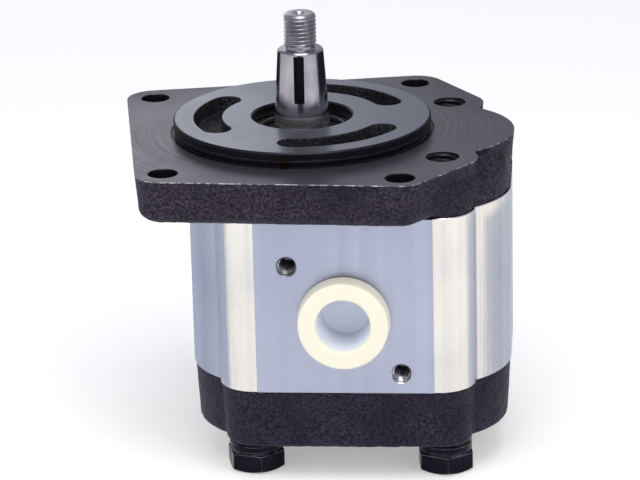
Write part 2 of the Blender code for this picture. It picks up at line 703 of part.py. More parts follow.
def build_front_flange(builder):
    circles = flange_circles()
    sections = rounded_edge_sections(
        circles,
        -FLANGE_THICKNESS,
        FLANGE_THICKNESS - FLANGE_TOP_CHAMFER,
        0.0,
        FLANGE_DRAFT,
        FLANGE_EDGE_RADIUS,
    )
    sections.append((0.0, rounded_outline(circles, FLANGE_TOP_CHAMFER)))
    flange = builder.part("front_flange", lofted_mesh(sections), CAST_IRON)

    skirt_levels = ((1.0, 0.0), (0.4, 0.8), (0.12, 4.5))
    skirt = [
        (-FLANGE_THICKNESS * share, rounded_outline(body_circles(), FLANGE_SKIRT_INSET + extra * MM))
        for share, extra in skirt_levels
    ]
    combine(flange, builder.tool("flange_skirt", lofted_mesh(skirt)), "UNION")
    pilot = turned_mesh(pilot_profile(), 2 * BORE_SEGMENTS)
    combine(flange, builder.tool("flange_pilot", pilot), "UNION")

    bore = turned_mesh(seal_bore_profile(), BORE_SEGMENTS)
    combine(flange, builder.tool("seal_bore_cutter", bore))
    for i in range(KIDNEY_COUNT):
        middle = KIDNEY_FIRST_ANGLE + math.tau * i / KIDNEY_COUNT
        outline = slot_outline(KIDNEY_MID_RADIUS, KIDNEY_HALF_WIDTH, middle, KIDNEY_HALF_SPAN)
        floor = PILOT_HEIGHT - KIDNEY_DEPTH
        kidney = plate_mesh([outline], floor, PILOT_HEIGHT + OVERSHOOT)
        combine(flange, builder.tool(f"kidney_cutter_{i + 1}", kidney))
    for i, (x, y, _) in enumerate(MOUNT_CORNERS):
        hole = cylinder_mesh(MOUNT_HOLE_RADIUS, -FLANGE_THICKNESS - OVERSHOOT, OVERSHOOT)
        combine(flange, builder.tool(f"mount_hole_cutter_{i + 1}", hole, (x, y, 0.0)))
    for label, side_x, side_y, _, _ in BOLTS:
        x, y = bolt_position(side_x, side_y)
        top = OVERSHOOT if side_x > 0 else BOLT_END_Z + 4 * SEAM
        hole = turned_mesh(tapped_hole_profile(top), SMALL_SEGMENTS)
        combine(flange, builder.tool(f"tapped_hole_cutter_{label}", hole, (x, y, 0.0)))
    cut_dowel_holes(builder, flange, -FLANGE_THICKNESS)


def build_pump_body(builder):
    outline = rounded_outline(body_circles())
    body = builder.part("pump_body", plate_mesh([outline], BODY_BOTTOM_Z, BODY_TOP_Z), ALUMINIUM)
    pad = box_mesh(
        (BODY_CENTRE_X - BODY_PAD_HALF_WIDTH, -BODY_HALF_DEPTH, BODY_BOTTOM_Z),
        (BODY_CENTRE_X + BODY_PAD_HALF_WIDTH, BODY_HALF_DEPTH, BODY_TOP_Z),
    )
    combine(body, builder.tool("flat_side_pads", pad), "UNION")

    bottom = BODY_BOTTOM_Z - OVERSHOOT
    top = BODY_TOP_Z + OVERSHOOT
    chamber = plate_mesh([figure_eight_outline(CHAMBER_RADIUS)], bottom, top)
    combine(body, builder.tool("gear_chamber_cutter", chamber))
    for label, side_x, side_y, _, _ in BOLTS:
        x, y = bolt_position(side_x, side_y)
        hole = cylinder_mesh(BOLT_HOLE_RADIUS, bottom, top)
        combine(body, builder.tool(f"body_bolt_hole_cutter_{label}", hole, (x, y, 0.0)))
    cut_port(builder, body, "outlet", -1, OUTLET_STEP_RADIUS, OUTLET_PASSAGE_RADIUS)
    cut_port(builder, body, "inlet", 1, INLET_STEP_RADIUS, INLET_PASSAGE_RADIUS)
    for label, face_z, inwards in (("front", BODY_TOP_Z, -1), ("rear", BODY_BOTTOM_Z, 1)):
        depth = BODY_SEAL_HEIGHT + GROOVE_CLEARANCE
        ends = sorted((face_z + inwards * depth, face_z - inwards * OVERSHOOT))
        width = BODY_SEAL_WIDTH + 2 * GROOVE_CLEARANCE
        groove = strip_mesh(body_seal_path(), width, *ends, cyclic=True)
        combine(body, builder.tool(f"{label}_body_seal_groove", groove))
    cut_dowel_holes(builder, body, BODY_TOP_Z)
    cut_dowel_holes(builder, body, BODY_BOTTOM_Z)


def cut_port(builder, body, label, side, step_radius, passage_radius):
    """A stepped port from the body's flat side into the gear chamber, with two tapped fixing holes."""
    step = BODY_HALF_DEPTH - PORT_STEP_DEPTH
    inner = CHAMBER_RADIUS / 4
    outer = BODY_HALF_DEPTH + OVERSHOOT
    port = turned_mesh(
        [
            (0.0, outer),
            (step_radius, outer),
            (step_radius, step),
            (passage_radius, step),
            (passage_radius, inner),
            (0.0, inner),
        ],
        BORE_SEGMENTS,
    )
    port.transform(Matrix.Rotation(-side * math.pi / 2, 4, "X"))
    combine(body, builder.tool(f"{label}_port_cutter", port, (BODY_CENTRE_X, 0.0, PORT_Z)))
    wide = PORT_FIXING_RADIUS + PORT_FIXING_CHAMFER
    fixing_profile = [
        (0.0, outer),
        (wide, outer),
        (wide, BODY_HALF_DEPTH),
        (PORT_FIXING_RADIUS, BODY_HALF_DEPTH - PORT_FIXING_CHAMFER),
        (PORT_FIXING_RADIUS, BODY_HALF_DEPTH - PORT_FIXING_DEPTH),
        (0.0, BODY_HALF_DEPTH - PORT_FIXING_DEPTH - PORT_FIXING_RADIUS / 2),
    ]
    for i in (-1, 1):
        fixing = turned_mesh(fixing_profile, PIN_SEGMENTS)
        fixing.transform(Matrix.Rotation(-side * math.pi / 2, 4, "X"))
        x = BODY_CENTRE_X + i * PORT_FIXING_OFFSET
        z = PORT_Z - i * PORT_FIXING_OFFSET
        combine(body, builder.tool(f"{label}_fixing_cutter_{i}", fixing, (x, 0.0, z)))


def build_rear_cover(builder):
    circles = body_circles()
    sections = rounded_edge_sections(
        circles,
        COVER_BOTTOM_Z,
        COVER_THICKNESS,
        COVER_INSET,
        COVER_DRAFT,
        COVER_EDGE_RADIUS,
    )
    cover = builder.part("rear_cover", lofted_mesh(sections), CAST_IRON)
    for label, side_x, side_y, _, _ in BOLTS:
        x, y = bolt_position(side_x, side_y)
        spot_radius = SPOT_FACE_RADIUS_RIGHT if side_x > 0 else SPOT_FACE_RADIUS_LEFT
        low = COVER_BOTTOM_Z - OVERSHOOT
        spot = cylinder_mesh(spot_radius, low, BOLT_SEAT_Z, BORE_SEGMENTS)
        combine(cover, builder.tool(f"spot_face_cutter_{label}", spot, (x, y, 0.0)))
        hole = cylinder_mesh(BOLT_HOLE_RADIUS, low, COVER_TOP_Z + OVERSHOOT)
        combine(cover, builder.tool(f"cover_bolt_hole_cutter_{label}", hole, (x, y, 0.0)))
    cut_dowel_holes(builder, cover, COVER_TOP_Z)


# Dowels, bolts and washers


def cut_dowel_holes(builder, piece, face_z):
    """Blind holes on both sides of a seam, each for half of a dowel."""
    reach = DOWEL_LENGTH / 2 + SEAM
    for i, (x, y) in enumerate(dowel_positions()):
        hole = cylinder_mesh(DOWEL_RADIUS + DOWEL_CLEARANCE, face_z - reach, face_z + reach, PIN_SEGMENTS)
        name = f"{piece.name}_dowel_cutter_{i + 1}_{round(-face_z / MM)}"
        combine(piece, builder.tool(name, hole, (x, y, 0.0)))


def build_dowels(builder):
    for label, seam_z in (("front", BODY_TOP_Z + SEAM / 2), ("rear", BODY_BOTTOM_Z - SEAM / 2)):
        for side, (x, y) in zip(("left", "right"), dowel_positions()):
            low, high = seam_z - DOWEL_LENGTH / 2, seam_z + DOWEL_LENGTH / 2
            pin = cylinder_mesh(DOWEL_RADIUS, low, high, PIN_SEGMENTS)
            builder.part(f"{label}_dowel_{side}", pin, STEEL, (x, y, 0.0))


def build_bolt(builder, label, x, y, head_turn):
    shank_profile = [
        (0.0, BOLT_END_Z),
        (BOLT_RADIUS - BOLT_END_CHAMFER, BOLT_END_Z),
        (BOLT_RADIUS, BOLT_END_Z - BOLT_END_CHAMFER),
        (BOLT_RADIUS, BOLT_HEAD_TOP_Z - BOLT_HEAD_HEIGHT / 2),
        (0.0, BOLT_HEAD_TOP_Z - BOLT_HEAD_HEIGHT / 2),
    ]
    flat_radius = BOLT_ACROSS_FLATS / 2
    slope = math.tan(BOLT_HEAD_CHAMFER_ANGLE)
    chamfer_profile = [
        (0.0, BOLT_HEAD_TOP_Z + OVERSHOOT),
        (flat_radius + OVERSHOOT, BOLT_HEAD_TOP_Z + OVERSHOOT),
        (flat_radius + OVERSHOOT, BOLT_HEAD_BOTTOM_Z + OVERSHOOT * slope),
        (flat_radius, BOLT_HEAD_BOTTOM_Z),
        (0.0, BOLT_HEAD_BOTTOM_Z),
    ]
    head = cylinder_mesh(BOLT_HEAD_RADIUS, BOLT_HEAD_BOTTOM_Z - OVERSHOOT, BOLT_HEAD_TOP_Z, 6)
    first_corner = math.atan2(head.vertices[0].co.y, head.vertices[0].co.x)
    head.transform(Matrix.Rotation(math.radians(head_turn) - first_corner, 4, "Z"))
    bolt = builder.part(f"body_bolt_{label}", head, BLACK_STEEL, (x, y, 0.0))
    chamfer = turned_mesh(chamfer_profile, SMALL_SEGMENTS + SMALL_SEGMENTS // 2)
    combine(bolt, builder.tool(f"bolt_head_chamfer_{label}", chamfer, (x, y, 0.0)), "INTERSECT")
    shank = turned_mesh(shank_profile, SMALL_SEGMENTS)
    combine(bolt, builder.tool(f"bolt_shank_{label}", shank, (x, y, 0.0)), "UNION")


def build_washers(builder, label, x, y, gap_turn):
    half_gap = SPRING_WASHER_GAP / 2
    start = math.radians(gap_turn)
    outer_gap = math.asin(half_gap / WASHER_OUTER_RADIUS)
    inner_gap = math.asin(half_gap / WASHER_INNER_RADIUS)
    step = math.radians(18)
    outer = arc_points((0, 0), WASHER_OUTER_RADIUS, start + outer_gap, start + math.tau - outer_gap, step)
    inner = arc_points((0, 0), WASHER_INNER_RADIUS, start + math.tau - inner_gap, start + inner_gap, step)
    bottom = SPRING_WASHER_TOP_Z - SPRING_WASHER_THICKNESS
    ring = plate_mesh([outer + inner], bottom, SPRING_WASHER_TOP_Z)
    builder.part(f"spring_washer_{label}", ring, BLACK_STEEL, (x, y, 0.0))
    outlines = [
        circle_outline(WASHER_OUTER_RADIUS),
        circle_outline(WASHER_INNER_RADIUS),
    ]
    disc = plate_mesh(outlines, PLAIN_WASHER_TOP_Z - PLAIN_WASHER_THICKNESS, PLAIN_WASHER_TOP_Z)
    builder.part(f"plain_washer_{label}", disc, BLACK_STEEL, (x, y, 0.0))


def build_fasteners(builder):
    for label, side_x, side_y, head_turn, gap_turn in BOLTS:
        x, y = bolt_position(side_x, side_y)
        build_bolt(builder, label, x, y, head_turn)
        build_washers(builder, label, x, y, gap_turn)


# Bearings and seals


def pressure_seal_path():
    """A strip shaped like a 3 round the high pressure side of both journals."""
    drive = arc_points(
        (0.0, 0.0),
        PRESSURE_SEAL_RADIUS,
        PRESSURE_SEAL_OPEN_ANGLE,
        math.tau + PRESSURE_SEAL_JOIN_ANGLE,
    )
    driven = [(GEAR_CENTRES - x, y) for x, y in reversed(drive)]
    return drive + driven


def body_seal_path():
    left = arc_points((0.0, 0.0), BODY_SEAL_RADIUS, math.pi / 2, 3 * math.pi / 2)
    right = arc_points((GEAR_CENTRES, 0.0), BODY_SEAL_RADIUS, -math.pi / 2, math.pi / 2)
    return left + right


def build_bearing_block(builder, label, low, high, outer_face, inwards):
    """A block that carries both journals, with its two bushes and its pressure seal."""
    outlines = [figure_eight_outline(BLOCK_RADIUS)]
    outlines += [circle_outline(BLOCK_BORE_RADIUS, (x, 0.0), BORE_SEGMENTS) for x in AXIS_X.values()]
    block = builder.part(f"{label}_bearing_block", plate_mesh(outlines, low, high), ALUMINIUM)
    depth = PRESSURE_SEAL_HEIGHT + GROOVE_CLEARANCE
    ends = sorted((outer_face + inwards * depth, outer_face - inwards * OVERSHOOT))
    width = PRESSURE_SEAL_WIDTH + 2 * GROOVE_CLEARANCE
    path = pressure_seal_path()
    first, second = path[0], path[1]
    past = GROOVE_CLEARANCE / math.dist(first, second)
    longer = [(first[0] + (first[0] - second[0]) * past, first[1] + (first[1] - second[1]) * past)]
    longer += path
    longer.append((GEAR_CENTRES - longer[0][0], longer[0][1]))
    groove = strip_mesh(longer, width, *ends, cyclic=False)
    combine(block, builder.tool(f"{label}_pressure_seal_groove", groove))
    seal_ends = sorted((outer_face, outer_face + inwards * PRESSURE_SEAL_HEIGHT))
    seal = strip_mesh(path, PRESSURE_SEAL_WIDTH, *seal_ends, cyclic=False)
    builder.part(f"{label}_pressure_seal", seal, RUBBER)
    bush_low = low + BUSH_END_SETBACK
    bush_high = high - BUSH_END_SETBACK
    profile = [
        (BUSH_OUTER_RADIUS, bush_high),
        (BUSH_OUTER_RADIUS, bush_low),
        (BUSH_INNER_RADIUS, bush_low),
        (BUSH_INNER_RADIUS, bush_high),
    ]
    for axis, x in AXIS_X.items():
        bush = turned_mesh(profile, BORE_SEGMENTS, closed=True)
        builder.part(f"{label}_{axis}_bush", bush, BRONZE, (x, 0.0, 0.0))


def build_bearings(builder):
    front_face = BODY_TOP_Z - SEAM
    rear_face = BODY_BOTTOM_Z + SEAM
    front_low = GEAR_TOP_Z + END_CLEARANCE
    rear_high = GEAR_BOTTOM_Z - END_CLEARANCE
    build_bearing_block(builder, "front", front_low, front_face, front_face, -1)
    build_bearing_block(builder, "rear", rear_face, rear_high, rear_face, 1)


def build_body_seals(builder):
    for label, face_z, inwards in (("front", BODY_TOP_Z, -1), ("rear", BODY_BOTTOM_Z, 1)):
        ends = sorted((face_z, face_z + inwards * BODY_SEAL_HEIGHT))
        seal = strip_mesh(body_seal_path(), BODY_SEAL_WIDTH, *ends, cyclic=True)
        builder.part(f"{label}_body_seal", seal, RUBBER)


def build_shaft_seal(builder):
    outer = SEAL_BORE_RADIUS - FIT_CLEARANCE
    lip = JOURNAL_RADIUS + SHAFT_RUNNING_CLEARANCE
    web_bottom = SEAL_TOP_Z - SEAL_WEB
    lip_outer = lip + SEAL_LIP_THICKNESS
    profile = [
        (outer, SEAL_TOP_Z),
        (outer, SEAL_BOTTOM_Z),
        (outer - SEAL_WALL, SEAL_BOTTOM_Z),
        (outer - SEAL_WALL, web_bottom),
        (lip_outer + SEAL_WALL, web_bottom),
        (lip_outer, SEAL_TOP_Z - SEAL_WEB - SEAL_LIP_HEIGHT),
        (lip, SEAL_TOP_Z - SEAL_WEB - SEAL_LIP_HEIGHT),
        (lip, SEAL_TOP_Z - SEAL_WEB / 2),
        (lip_outer, SEAL_TOP_Z),
    ]
    builder.part("shaft_seal", turned_mesh(profile, BORE_SEGMENTS, closed=True), RUBBER)


def build_circlip(builder):
    """An inner retaining ring with a lug and a plier hole on each side of its gap."""
    outer = SEAL_BORE_RADIUS + CIRCLIP_GROOVE_DEPTH - SEAM
    inner = outer - CIRCLIP_RADIAL_WIDTH
    gap = CIRCLIP_GAP_ANGLE / 2
    lug = gap + CIRCLIP_LUG_ANGLE
    lug_inner = inner - CIRCLIP_LUG_RADIUS
    middle = CIRCLIP_GAP_DIRECTION
    outline = arc_points((0, 0), outer, middle + gap, middle + math.tau - gap)
    outline += arc_points((0, 0), lug_inner, middle + math.tau - gap, middle + math.tau - lug)
    inner_end = lug + CIRCLIP_LUG_FLANK_ANGLE
    outline += arc_points((0, 0), inner, middle + math.tau - inner_end, middle + inner_end)
    outline += arc_points((0, 0), lug_inner, middle + lug, middle + gap)
    hole_ring = (lug_inner + outer) / 2
    outlines = [outline]
    for side in (-1, 1):
        angle = middle + side * (gap + CIRCLIP_LUG_ANGLE / 2)
        centre = (hole_ring * math.cos(angle), hole_ring * math.sin(angle))
        outlines.append(circle_outline(CIRCLIP_HOLE_RADIUS, centre, PIN_SEGMENTS))
    ring = plate_mesh(outlines, CIRCLIP_BOTTOM_Z, CIRCLIP_BOTTOM_Z + CIRCLIP_THICKNESS)
    builder.part("seal_circlip", ring, STEEL)


def build_plug(builder, label, side, step_radius):
    """A cup pushed into a port, open outwards, whose rim bears on the body's flat side."""
    stub_radius = step_radius - FIT_CLEARANCE
    rim_base_radius = step_radius + PLUG_RIM_WIDTH
    rim_top_radius = rim_base_radius - PLUG_RIM_DRAFT
    hollow = stub_radius - PLUG_WALL
    seat = BODY_HALF_DEPTH + SEAM
    top = seat + PLUG_RIM_HEIGHT
    bottom = BODY_HALF_DEPTH - PLUG_LENGTH_IN_PORT
    corner = arc_points(
        (rim_top_radius - PLUG_RIM_ROUND, top - PLUG_RIM_ROUND),
        PLUG_RIM_ROUND,
        math.pi / 2,
        0.0,
        math.radians(45),
    )
    profile = [
        (0.0, bottom + PLUG_END_WALL),
        (hollow - PLUG_RIM_DRAFT, bottom + PLUG_END_WALL),
        (hollow, top - PLUG_RIM_DRAFT),
        (hollow + PLUG_RIM_DRAFT, top),
        *corner,
        (rim_base_radius, seat),
        (stub_radius, seat),
        (stub_radius - PLUG_RIM_DRAFT / 2, bottom),
        (0.0, bottom),
    ]
    plug = turned_mesh(profile, BORE_SEGMENTS)
    plug.transform(Matrix.Rotation(-side * math.pi / 2, 4, "X"))
    builder.part(f"{label}_port_plug", plug, PLASTIC, (BODY_CENTRE_X, 0.0, PORT_Z))


def stand_on_origin(builder):
    """Moves the datum so that the parts' bounding box stands on z = 0, centred on the Z axis."""
    bpy.context.view_layer.update()
    graph = bpy.context.evaluated_depsgraph_get()
    low = Vector((math.inf,) * 3)
    high = Vector((-math.inf,) * 3)
    for obj in builder.parts.objects:
        if obj.type != "MESH":
            continue
        evaluated = obj.evaluated_get(graph)
        for vertex in evaluated.data.vertices:
            point = evaluated.matrix_world @ vertex.co
            low = Vector(map(min, low, point))
            high = Vector(map(max, high, point))
    builder.datum.location = (-(low.x + high.x) / 2, -(low.y + high.y) / 2, -low.z)
    bpy.context.view_layer.update()


def main():
    clear_scene()
    builder = Builder()
    build_front_flange(builder)
    build_pump_body(builder)
    build_rear_cover(builder)
    build_gears(builder)
    build_bearings(builder)
    build_body_seals(builder)
    build_shaft_seal(builder)
    build_circlip(builder)
    build_dowels(builder)
    build_fasteners(builder)
    build_plug(builder, "outlet", -1, OUTLET_STEP_RADIUS)
    build_plug(builder, "inlet", 1, INLET_STEP_RADIUS)
    stand_on_origin(builder)


main()
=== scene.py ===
"""Looks of a hydraulic gear pump: castings, extruded body, ground shaft, bolts and shipping plugs.

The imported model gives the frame. Each sub-assembly is a class that builds its fine meshes round that
frame's datum (the drive gear's axis, in the plane of the mounting face), dresses them and rides them on
their bodies. Lengths are metres and +Z runs up the shaft.
"""

import logging
import math
from collections.abc import Callable, Iterable, Sequence
from dataclasses import dataclass, field
from enum import Enum
from typing import ClassVar

import bmesh
import bpy
from mathutils import Matrix, Vector, noise


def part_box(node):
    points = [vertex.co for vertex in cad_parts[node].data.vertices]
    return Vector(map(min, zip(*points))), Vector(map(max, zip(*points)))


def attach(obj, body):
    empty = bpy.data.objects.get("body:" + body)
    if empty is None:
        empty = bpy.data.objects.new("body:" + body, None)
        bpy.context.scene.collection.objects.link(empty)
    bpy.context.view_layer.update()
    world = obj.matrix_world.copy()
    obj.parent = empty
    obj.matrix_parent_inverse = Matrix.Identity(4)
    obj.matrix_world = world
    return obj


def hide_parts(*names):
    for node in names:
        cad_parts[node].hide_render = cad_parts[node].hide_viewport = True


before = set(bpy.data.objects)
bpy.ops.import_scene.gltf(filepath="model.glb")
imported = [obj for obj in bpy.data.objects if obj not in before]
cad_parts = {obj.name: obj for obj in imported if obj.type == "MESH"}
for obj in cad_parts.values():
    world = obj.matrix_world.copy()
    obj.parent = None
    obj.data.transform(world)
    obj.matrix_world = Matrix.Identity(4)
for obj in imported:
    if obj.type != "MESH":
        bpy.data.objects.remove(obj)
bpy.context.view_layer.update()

LOG = logging.getLogger("gear_pump")
MM = 0.001
WELD = 1e-7
Point = tuple[float, float]
Outline = list[Point]
Circle = tuple[float, float, float]
Corner = tuple[float, float, float]
Spot = tuple[float, float, float]
Color = tuple[float, float, float]
Face = bpy.types.MeshPolygon
FaceRule = Callable[[Face], bool]
Socket = bpy.types.NodeSocket
Look = tuple[Socket, Socket, Socket]
CAST_SPACING = 0.65 * MM


# Outlines


def arc_points(centre: Point, radius: float, start: float, end: float, step: float) -> Outline:
    """Points along an arc, both ends included.

    Args:
        centre: Centre of the arc.
        radius: Its radius; negative for an arc seen from outside.
        start: First angle, in radians.
        end: Last angle, in radians.
        step: Largest angle between points.

    Returns:
        The points, from start to end.
    """
    count = max(1, math.ceil(abs(end - start) / step - 1e-6))
    angles = [start + (end - start) * i / count for i in range(count + 1)]
    return [(centre[0] + radius * math.cos(a), centre[1] + radius * math.sin(a)) for a in angles]


def circle_outline(radius: float, count: int, centre: Point = (0.0, 0.0)) -> Outline:
    """A full circle of count points, anticlockwise."""
    return arc_points(centre, radius, 0.0, math.tau, math.tau / count)[:-1]


def valley_circle(first: Circle, second: Circle, radius: float) -> Circle:
    """The concave fillet between two round lobes.

    Args:
        first: The lobe that the outline leaves, as (x, y, radius).
        second: The lobe that it goes on to.
        radius: The fillet's radius.

    Returns:
        The fillet's circle, whose negative radius marks it as concave.
    """
    (x1, y1, r1), (x2, y2, r2) = first, second
    a, b = r1 + radius, r2 + radius
    distance = math.hypot(x2 - x1, y2 - y1)
    along = (a * a - b * b + distance * distance) / (2 * distance)
    out = math.sqrt(a * a - along * along)
    ux, uy = (x2 - x1) / distance, (y2 - y1) / distance
    return (x1 + along * ux + out * uy, y1 + along * uy - out * ux, -radius)


def rounded_outline(circles: Sequence[Circle], inset: float, step: float) -> Outline:
    """The outline round a chain of circles, straight from each to the next.

    Args:
        circles: (x, y, radius) anticlockwise; a negative radius is a concave arc.
        inset: How far the whole outline is moved inwards.
        step: Largest angle between points of an arc.

    Returns:
        The points. Their number doesn't depend on the inset, so insets of one chain can be lofted.
    """
    normals = []
    for i, (x1, y1, r1) in enumerate(circles):
        x2, y2, r2 = circles[(i + 1) % len(circles)]
        lean = math.acos(max(-1.0, min(1.0, (r1 - r2) / math.hypot(x2 - x1, y2 - y1))))
        normals.append(math.atan2(y2 - y1, x2 - x1) - lean)
    points: Outline = []
    for i, (x, y, radius) in enumerate(circles):
        turn = (normals[i] - normals[i - 1] + math.pi) % math.tau - math.pi
        points += arc_points((x, y), radius - inset, normals[i - 1], normals[i - 1] + turn, step)
    return points


def subdivided(outline: Outline, guide: Outline, spacing: float) -> Outline:
    """The outline with extra points on its long edges.

    Args:
        outline: The points.
        guide: An outline with as many points, whose edge lengths set how many points each edge gets.
        spacing: Largest edge of the guide that stays whole.

    Returns:
        The longer list of points.
    """
    points: Outline = []
    for i, (x1, y1) in enumerate(outline):
        x2, y2 = outline[(i + 1) % len(outline)]
        count = max(1, math.ceil(math.dist(guide[i], guide[(i + 1) % len(guide)]) / spacing))
        points += [(x1 + (x2 - x1) * k / count, y1 + (y2 - y1) * k / count) for k in range(count)]
    return points


def slot_outline(mid_radius: float, half_width: float, middle: float, half_span: float) -> Outline:
    """A slot bent round the origin, with round ends.

    Args:
        mid_radius: Radius of the slot's middle line.
        half_width: Half of its width.
        middle: Direction of its middle, in radians.
        half_span: Angle from there to the tip of each end.

    Returns:
        The outline, anticlockwise.
    """
    fine, coarse = math.radians(12), math.radians(2)
    reach = half_span - half_width / mid_radius
    first, last = middle - reach, middle + reach
    start = (mid_radius * math.cos(first), mid_radius * math.sin(first))
    end = (mid_radius * math.cos(last), mid_radius * math.sin(last))
    outer = arc_points((0.0, 0.0), mid_radius + half_width, first, last, coarse)
    inner = arc_points((0.0, 0.0), mid_radius - half_width, last, first, coarse)
    far_end = arc_points(end, half_width, last, last + math.pi, fine)
    near_end = arc_points(start, half_width, first - math.pi, first, fine)
    return outer + far_end[1:-1] + inner + near_end[1:-1]


def filleted(corners: Sequence[Corner], steps: int = 4) -> Outline:
    """A turned profile with rounded corners.

    Args:
        corners: (radius, z, fillet) of each corner, the first and last kept sharp.
        steps: Edges in each fillet.

    Returns:
        The profile's points.
    """
    most = 0.48
    points: Outline = [corners[0][:2]]
    for before, corner, after in zip(corners, corners[1:], corners[2:]):
        middle = Vector(corner[:2])
        back, ahead = Vector(before[:2]) - middle, Vector(after[:2]) - middle
        bend = math.pi - back.angle(ahead)
        reach = corner[2] * math.tan(bend / 2)
        reach = min(reach, most * back.length, most * ahead.length)
        if reach < WELD:
            points.append(corner[:2])
            continue
        start, end = middle + back.normalized() * reach, middle + ahead.normalized() * reach
        for i in range(steps + 1):
            t = i / steps
            point = (1 - t) ** 2 * start + 2 * t * (1 - t) * middle + t * t * end
            points.append((point.x, point.y))
    points.append(corners[-1][:2])
    return points


# Meshes


def mesh_from(shape: bmesh.types.BMesh, name: str) -> bpy.types.Mesh:
    """Writes a bmesh, its normals facing out, to a new mesh and frees it.

    Args:
        shape: The bmesh.
        name: Name of the mesh.

    Returns:
        The mesh.
    """
    bmesh.ops.remove_doubles(shape, verts=shape.verts, dist=WELD)
    bmesh.ops.recalc_face_normals(shape, faces=shape.faces)
    mesh = bpy.data.meshes.new(name)
    shape.to_mesh(mesh)
    shape.free()
    return mesh


def skin_rings(rings: Sequence[Sequence[Vector]], name: str, caps: bool = True) -> bpy.types.Mesh:
    """A surface through closed rings of points.

    Args:
        rings: Rings that all have as many points. A ring whose points coincide makes a pole.
        name: Name of the mesh.
        caps: Whether the first and last rings are closed with a face; if not, they are joined.

    Returns:
        The closed mesh.
    """
    shape = bmesh.new()
    made = [[shape.verts.new(point) for point in ring] for ring in rings]
    pairs = list(zip(made, made[1:]))
    if not caps:
        pairs.append((made[-1], made[0]))
    for lower, upper in pairs:
        for i in range(len(lower)):
            j = (i + 1) % len(lower)
            shape.faces.new((lower[i], lower[j], upper[j], upper[i]))
    if caps:
        shape.faces.new(list(reversed(made[0])))
        shape.faces.new(made[-1])
    return mesh_from(shape, name)


def loft(sections: Iterable[tuple[float, Outline]], name: str) -> bpy.types.Mesh:
    """A closed shape through (z, outline) sections, bottom to top."""
    return skin_rings([[Vector((x, y, z)) for x, y in outline] for z, outline in sections], name)


def prism(outline: Outline, low: float, high: float, name: str) -> bpy.types.Mesh:
    """A straight shape between two heights."""
    return loft([(low, outline), (high, outline)], name)


def turned(
    profile: Outline,
    name: str,
    segments: int = 96,
    ring: bool = False,
    ripple: Callable[[float, float], float] | None = None,
) -> bpy.types.Mesh:
    """A profile turned about Z.

    Args:
        profile: (radius, z) points. It starts and ends on the axis, unless it closes as a ring.
        name: Name of the mesh.
        segments: Points round the axis.
        ring: Whether the profile's last point joins its first.
        ripple: Given the angle and z, how much the radius is less there, such as a thread's groove.

    Returns:
        The closed mesh.
    """
    rings = []
    for radius, z in profile:
        points = []
        for i in range(segments):
            angle = math.tau * i / segments
            r = radius - (ripple(angle, z) if ripple and radius > 0 else 0.0)
            points.append(Vector((r * math.cos(angle), r * math.sin(angle), z)))
        rings.append(points)
    if ring:
        return skin_rings(rings, name, caps=False)
    shape = bmesh.new()
    flat = [abs(profile[a][1] - profile[b][1]) < WELD for a, b in ((0, 1), (-1, -2))]
    first, last = int(flat[0]), len(profile) - int(flat[1])
    made = []
    for (radius, z), points in list(zip(profile, rings))[first:last]:
        made.append([shape.verts.new(p) for p in points] if radius > 0 else [shape.verts.new((0, 0, z))])
    if flat[0]:
        shape.faces.new(made[0])
    if flat[1]:
        shape.faces.new(list(reversed(made[-1])))
    for upper, lower in zip(made, made[1:]):
        for i in range(segments):
            j = (i + 1) % segments
            corners = [ring[k % len(ring)] for ring, k in ((upper, i), (upper, j), (lower, j), (lower, i))]
            shape.faces.new(list(dict.fromkeys(corners)))
    return mesh_from(shape, name)


@dataclass(frozen=True)
class Thread:
    """A right-hand V thread cut into a round surface between two heights."""

    pitch: float
    depth: float
    bottom: float
    top: float

    def groove(self, angle: float, z: float) -> float:
        """Depth of the groove at a point of the surface.

        Args:
            angle: The point's direction.
            z: Its height.

        Returns:
            The depth.
        """
        flat = 0.12
        fade = min(1.0, max(0.0, (self.top - z) / self.pitch), max(0.0, (z - self.bottom) / self.pitch))
        phase = (z / self.pitch - angle / math.tau) % 1.0
        wave = min(1.0, max(0.0, (abs(phase - 0.5) * 2 - flat) / (1 - 2 * flat)))
        return self.depth * wave * fade

    def rows(self, radius: float, per_turn: int = 8) -> Outline:
        """Profile points down the threaded stretch, close enough together to shape the thread."""
        count = math.ceil((self.top - self.bottom) / self.pitch * per_turn)
        return [(radius, self.top - (self.top - self.bottom) * i / count) for i in range(count + 1)]


def roughened(mesh: bpy.types.Mesh, amount: float, size: float, top: float, seed: float) -> bpy.types.Mesh:
    """Sinks pits into the surface below a height, as sand leaves a casting's skin.

    Args:
        mesh: The mesh to change.
        amount: How deep the noise's full height is.
        size: Size of the broad waves, on which grains of about a third of that size stand.
        top: Height from which the surface is machined and stays as it is.
        seed: Offset into the noise.

    Returns:
        The same mesh.
    """
    blend, fine_share, fine_scale, level = 0.8 * MM, 0.9, 3.1, 0.8
    moves = []
    for vertex in mesh.vertices:
        fade = min(1.0, max(0.0, (top - vertex.co.z) / blend))
        spot = vertex.co / size + Vector((seed, seed, seed))
        grain = min(0.0, noise.noise(spot) + fine_share * noise.noise(spot * fine_scale) - level)
        moves.append(vertex.normal * (grain * amount * fade))
    for vertex, move in zip(mesh.vertices, moves):
        vertex.co += move
    return mesh


def moved(mesh: bpy.types.Mesh, x: float, y: float) -> bpy.types.Mesh:
    """Moves a mesh sideways and gives it back."""
    mesh.transform(Matrix.Translation((x, y, 0.0)))
    return mesh


def linked(name: str, data: bpy.types.ID) -> bpy.types.Object:
    """A new object in the scene.

    Args:
        name: Its name.
        data: Its mesh, camera or light.

    Returns:
        The object.
    """
    obj = bpy.data.objects.new(name, data)
    bpy.context.scene.collection.objects.link(obj)
    return obj


